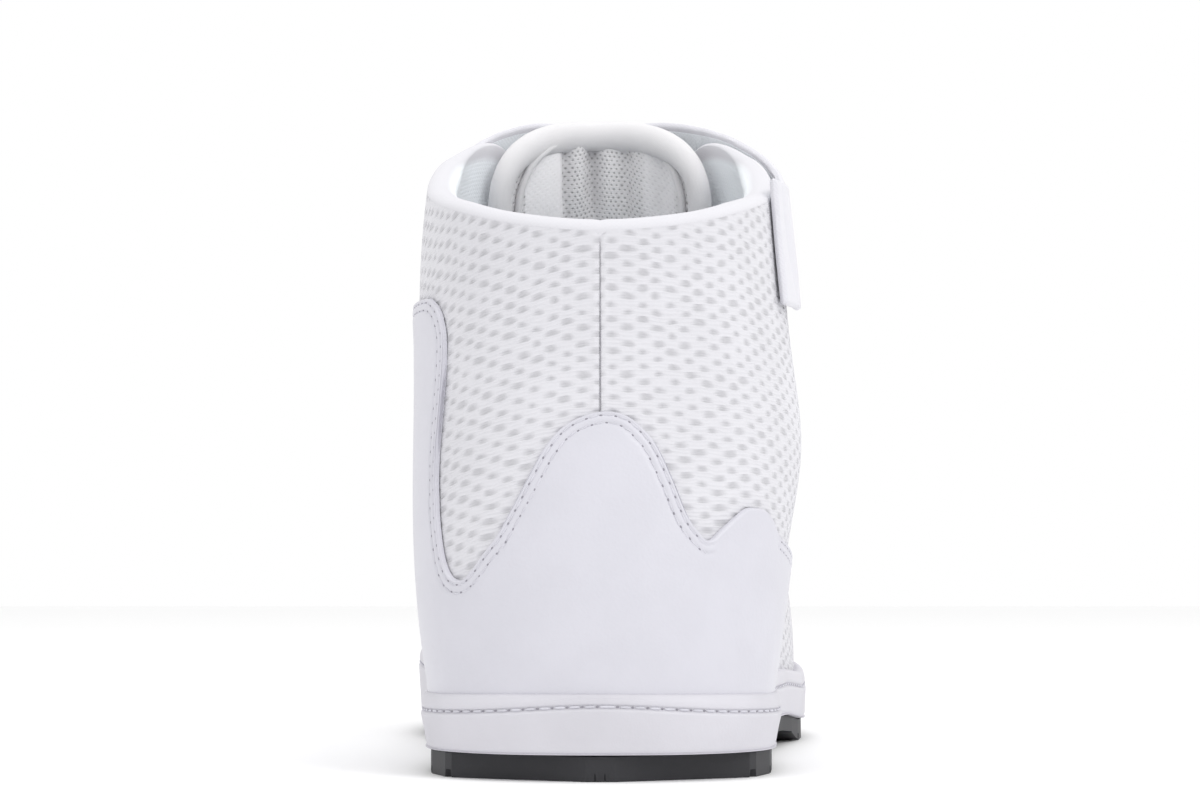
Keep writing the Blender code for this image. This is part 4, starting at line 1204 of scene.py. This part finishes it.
def strap_face(turns, shares):
    """The strap's inner face and the way out of it, as grids with a row for each line along the strap."""
    centre = COLLAR_DEPTH * 0.53
    places = np.linspace(-0.5, 0.5, 5)
    lines = np.array([taut_radius(turns, centre, place) for place in places])
    fit = np.polyfit(places, lines, 2)
    radius = fit[0] * shares[:, None] ** 2 + fit[1] * shares[:, None] + fit[2]
    radius += STRAP_LIFT * smooth_step(turns, math.radians(68), STRAP_FREE_END)
    height = strap_height(turns) + shares[:, None] * STRAP_WIDTH
    face = np.stack([radius * np.sin(turns), centre + radius * np.cos(turns), height], -1)
    return face, unit(np.cross(np.gradient(face, axis=0), np.gradient(face, axis=1)))


class SHOE_OT_strap(bpy.types.Operator):
    """Models the ankle strap with its free end and the creases across it"""

    bl_idname = "shoe.strap"
    bl_label = "Ankle strap"

    def execute(self, context):
        turns = np.linspace(STRAP_START, STRAP_FREE_END, 260)
        shares = np.linspace(-0.5, 0.5, 60)
        face, out = strap_face(turns, shares)
        tuck = STRAP_TUCK * smooth_step(turns, math.radians(84), math.radians(110))
        face = face - out * tuck[:, None]
        turn, share = np.meshgrid(turns, shares)
        ends = np.minimum(turn - turns[0], turns[-1] - turn) * STRAP_RADIUS
        roll = np.clip(np.minimum((0.5 - np.abs(share)) * STRAP_WIDTH, ends) / (0.8 * MM), 0, 1)
        half = STRAP_THICKNESS / 2 * np.sqrt(1 - (1 - roll) ** 2) + 0.05 * MM
        wave = np.zeros(turn.shape)
        for crease in STRAP_CREASES:
            rise = share - crease.share
            way = (turn - crease.turn) * STRAP_RADIUS - rise * STRAP_WIDTH * crease.lean
            wave += crease.depth * np.exp(-(way / crease.width) ** 2 - (rise / crease.length) ** 2)
        middle = face + out * (STRAP_THICKNESS / 2 + wave[..., None])
        front, back = middle + out * half[..., None], middle - out * half[..., None]
        chart = arc_chart(face)
        loop = np.concatenate([front, back[::-1], front[:1]])
        chart = np.concatenate([chart, chart[::-1], chart[:1]])
        finish_piece(rolled_piece("ankle_strap", loop, chart), "Strap fabric", ["strap"])
        # The strap's lining, in the lifted lining colour, is painted light on the strap's shaded inner face
        lining = (back - out * 0.08 * MM)[3:-3, 4:-4]
        open_grid("strap_lining", lining, 0.3 * MM, "Strap lining")
        return {"FINISHED"}


def gathered_face(front, back):
    """The tongue's inner face with the gathers in its lining, which fade out below and at the rim."""
    high = smooth_step(back[..., 2], 0.78 * TONGUE_TOP, 0.90 * TONGUE_TOP)
    high = high * (1 - smooth_step(np.linspace(0, 1, len(back))[:, None], 0.88, 0.95))
    dents = (row.depth * np.exp(-((back[..., 0] - row.x) / row.width) ** 2) for row in TONGUE_GATHERS)
    out = unit(np.cross(np.gradient(back, axis=0), np.gradient(back, axis=1)))
    side = np.sign(np.sum(out * (back - front), axis=2, keepdims=True))
    return back + out * side * (high * sum(dents))[..., None]


def tongue_pad(front, back, across):
    """The padded body. Its chart holds millimetres across, moved 200 mm aside on the front."""
    inner, outer, across = (grid[:-8, 6:-6] for grid in (back, front, across))
    loop = np.concatenate([inner[:, ::-1], outer, inner[:, -1:]], axis=1)
    chart = arc_chart(loop)
    chart[..., 0] = np.concatenate([across[:, ::-1], 200 * MM + outer[..., 0], across[:, -1:]], axis=1) / MM
    piece = rolled_piece("tongue_pad", loop, chart)
    finish_piece(piece, "Tongue lining", ["tongue"])


def tongue_rim(middle, way):
    """The bound edge, up one side, over the top and down the other side."""
    rims = [np.concatenate([grid[:, 0], grid[-1, 1:-1], grid[::-1, -1]]) for grid in (middle, way)]
    line, facing = evened(*rims, 420, 25)
    inward = unit(np.array([0, 0.51 * THROAT_END, 0.86 * TONGUE_TOP]) - line)
    width = (5.4 + 1.4 * smooth_step(line[:, 2:], 0.90 * TONGUE_TOP, TONGUE_TOP)) * MM
    line = line + inward * (0.42 * width)
    tube("tongue_rim", line, facing, width, 5.6 * MM, "Edge binding")


def tongue_piping(back, way):
    """The cord round the lining, along a squared arch over the rows and columns of the inner face."""
    turn = np.linspace(0, math.pi, 160)
    across = -0.76 * np.sign(np.cos(turn)) * np.abs(np.cos(turn)) ** 0.45
    along = 0.55 + 0.37 * np.sin(turn) ** 0.6
    column = ((across + 1) * (back.shape[1] // 2)).round().astype(int)
    row = (along * (len(back) - 1)).round().astype(int)
    line, facing = evened(back[row, column], way[row, column], 300, 15)
    line = line + facing * 0.8 * MM
    tube("tongue_piping", line, facing, 1.7 * MM, 1.5 * MM, "Edge binding")


class SHOE_OT_tongue(bpy.types.Operator):
    """Models the padded tongue, its rolled edge and the gathered lining inside it"""

    bl_idname = "shoe.tongue"
    bl_label = "Tongue"

    def execute(self, context):
        front, plain = tongue_faces(200, 161)
        back = gathered_face(front, plain)
        way = back - front
        tongue_pad(front, back, plain[..., 0])
        tongue_rim((front + back) / 2 + way * 0.22, way)
        tongue_piping(back, way)
        return {"FINISHED"}


class SHOE_OT_laces(bpy.types.Operator):
    """Models the runs of the flat lace"""

    bl_idname = "shoe.laces"
    bl_label = "Laces"

    def execute(self, context):
        for index, (right, left) in enumerate(zip(zip(*eyelet_places(1)), zip(*eyelet_places(-1))), 1):
            up = unit(right[1] + left[1])
            share = np.linspace(1, -1, 61)[:, None]
            middle = (right[0] + left[0]) / 2 + (right[0] - left[0]) / 2 * share
            line = middle + up * (LACE_ARCH * (1 - np.abs(share) ** 5) - 0.6 * MM)
            tube(f"lace_run_{index}", line, np.broadcast_to(up, line.shape), LACE_WIDTH, LACE_THICKNESS,
                 "Lace weave", [f"lace_{index}"], square=0.55)
        return {"FINISHED"}


class SHOE_OT_insole(bpy.types.Operator):
    """Models the insole and dresses the outsole"""

    bl_idname = "shoe.insole"
    bl_label = "Insole and outsole"

    def execute(self, context):
        y = np.linspace(2, UPPER_LENGTH / MM - 3, 200) * MM
        stations = np.linspace(0, TOE, 600)
        sides = [around(FEATHER_ROWS, side * stations) for side in (1, -1)]
        right, left = (np.interp(y, line[:, 1], line[:, 0]) for line in sides)
        share = np.linspace(-1, 1, 60)[None, :]
        x = (right + left)[:, None] / 2 + ((right - left)[:, None] / 2 - 2.6 * MM) * share
        z = BED_TOP + GAP + INSOLE_THICKNESS + ground_rise(y)[:, None] + 1.2 * MM * np.abs(share) ** 6
        points = np.stack([x, np.broadcast_to(y[:, None], x.shape), z], -1)
        piece = open_grid("insole_top", points, 2.4 * MM, "Strap lining", ["insole"])
        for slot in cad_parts["outsole"].material_slots:
            slot.material = finish_named("Black rubber")
        return {"FINISHED"}


class SHOE_OT_stage(bpy.types.Operator):
    """Sets the floor, the soft light and the camera"""

    bl_idname = "shoe.stage"
    bl_label = "Stage"

    def execute(self, context):
        bpy.ops.mesh.primitive_plane_add(size=6)
        floor = context.object
        floor.name = "studio_floor"
        made, _, shader = new_material("Studio floor", 0.9)
        shader.inputs["Base Color"].default_value = (0.95, 0.95, 0.95, 1)
        floor.data.materials.append(made)
        world = bpy.data.worlds.new("Studio")
        world.use_nodes = True
        background = world.node_tree.nodes["Background"]
        background.inputs["Color"].default_value = (1.0, 1.0, 1.0, 1)
        background.inputs["Strength"].default_value = 1.0
        context.scene.world = world
        for name, place, size, power in (
            ("Softbox right", (0.8, -0.95, 0.95), 0.6, 4.5),
            ("Softbox above", (0.0, -0.1, 1.4), 0.7, 4.0),
        ):
            light = bpy.data.lights.new(name, "AREA")
            light.energy, light.size = power, size
            lamp = bpy.data.objects.new(name, light)
            lamp.location = place
            toward_shoe = Vector((0, 0, 0.07)) - Vector(place)
            lamp.rotation_euler = toward_shoe.to_track_quat("-Z", "Y").to_euler()
            context.scene.collection.objects.link(lamp)
        view = bpy.data.cameras.new("Photo camera")
        view.lens, view.sensor_width, view.clip_start = CAMERA_LENS, 36, 0.01
        camera = bpy.data.objects.new("Photo camera", view)
        camera.location = HEEL_SEAM + np.array([0, -CAMERA_DISTANCE, CAMERA_HEIGHT])
        camera.rotation_euler = (CAMERA_TILT, 0, 0)
        context.scene.collection.objects.link(camera)
        context.scene.camera = camera
        context.scene.view_settings.view_transform = "Standard"
        return {"FINISHED"}


class SHOE_PT_panel(bpy.types.Panel):
    """Lists the shoe's pieces"""

    bl_idname = "SHOE_PT_panel"
    bl_label = "Wrestling shoe"
    bl_space_type = "VIEW_3D"
    bl_region_type = "UI"
    bl_category = "Shoe"

    def draw(self, context):
        for name in ShoeLooks.__annotations__:
            self.layout.prop(context.scene.shoe_looks, name)
        for step in STEPS:
            self.layout.operator(step.bl_idname)


STEPS = (
    SHOE_OT_stage,
    SHOE_OT_quarters,
    SHOE_OT_lining,
    SHOE_OT_heel_wrap,
    SHOE_OT_toe_cap,
    SHOE_OT_eyestays,
    SHOE_OT_eyelets,
    SHOE_OT_tongue,
    SHOE_OT_strap,
    SHOE_OT_laces,
    SHOE_OT_cupsole,
    SHOE_OT_insole,
)


def register():
    for part in (ShoeLooks, *STEPS, SHOE_PT_panel):
        bpy.utils.register_class(part)
    bpy.types.Scene.shoe_looks = bpy.props.PointerProperty(type=ShoeLooks)


def unregister():
    del bpy.types.Scene.shoe_looks
    for part in (SHOE_PT_panel, *STEPS[::-1], ShoeLooks):
        bpy.utils.unregister_class(part)


def main():
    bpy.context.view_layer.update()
    register()
    for maker in (holes_group, weave_group, grain_group):
        maker()
    bpy.ops.shoe.stage()
    bpy.ops.shoe.quarters()
    bpy.ops.shoe.lining()
    bpy.ops.shoe.heel_wrap()
    bpy.ops.shoe.toe_cap()
    bpy.ops.shoe.eyestays()
    bpy.ops.shoe.eyelets()
    bpy.ops.shoe.tongue()
    bpy.ops.shoe.strap()
    bpy.ops.shoe.laces()
    bpy.ops.shoe.cupsole()
    bpy.ops.shoe.insole()


if __name__ == "__main__":
    main()
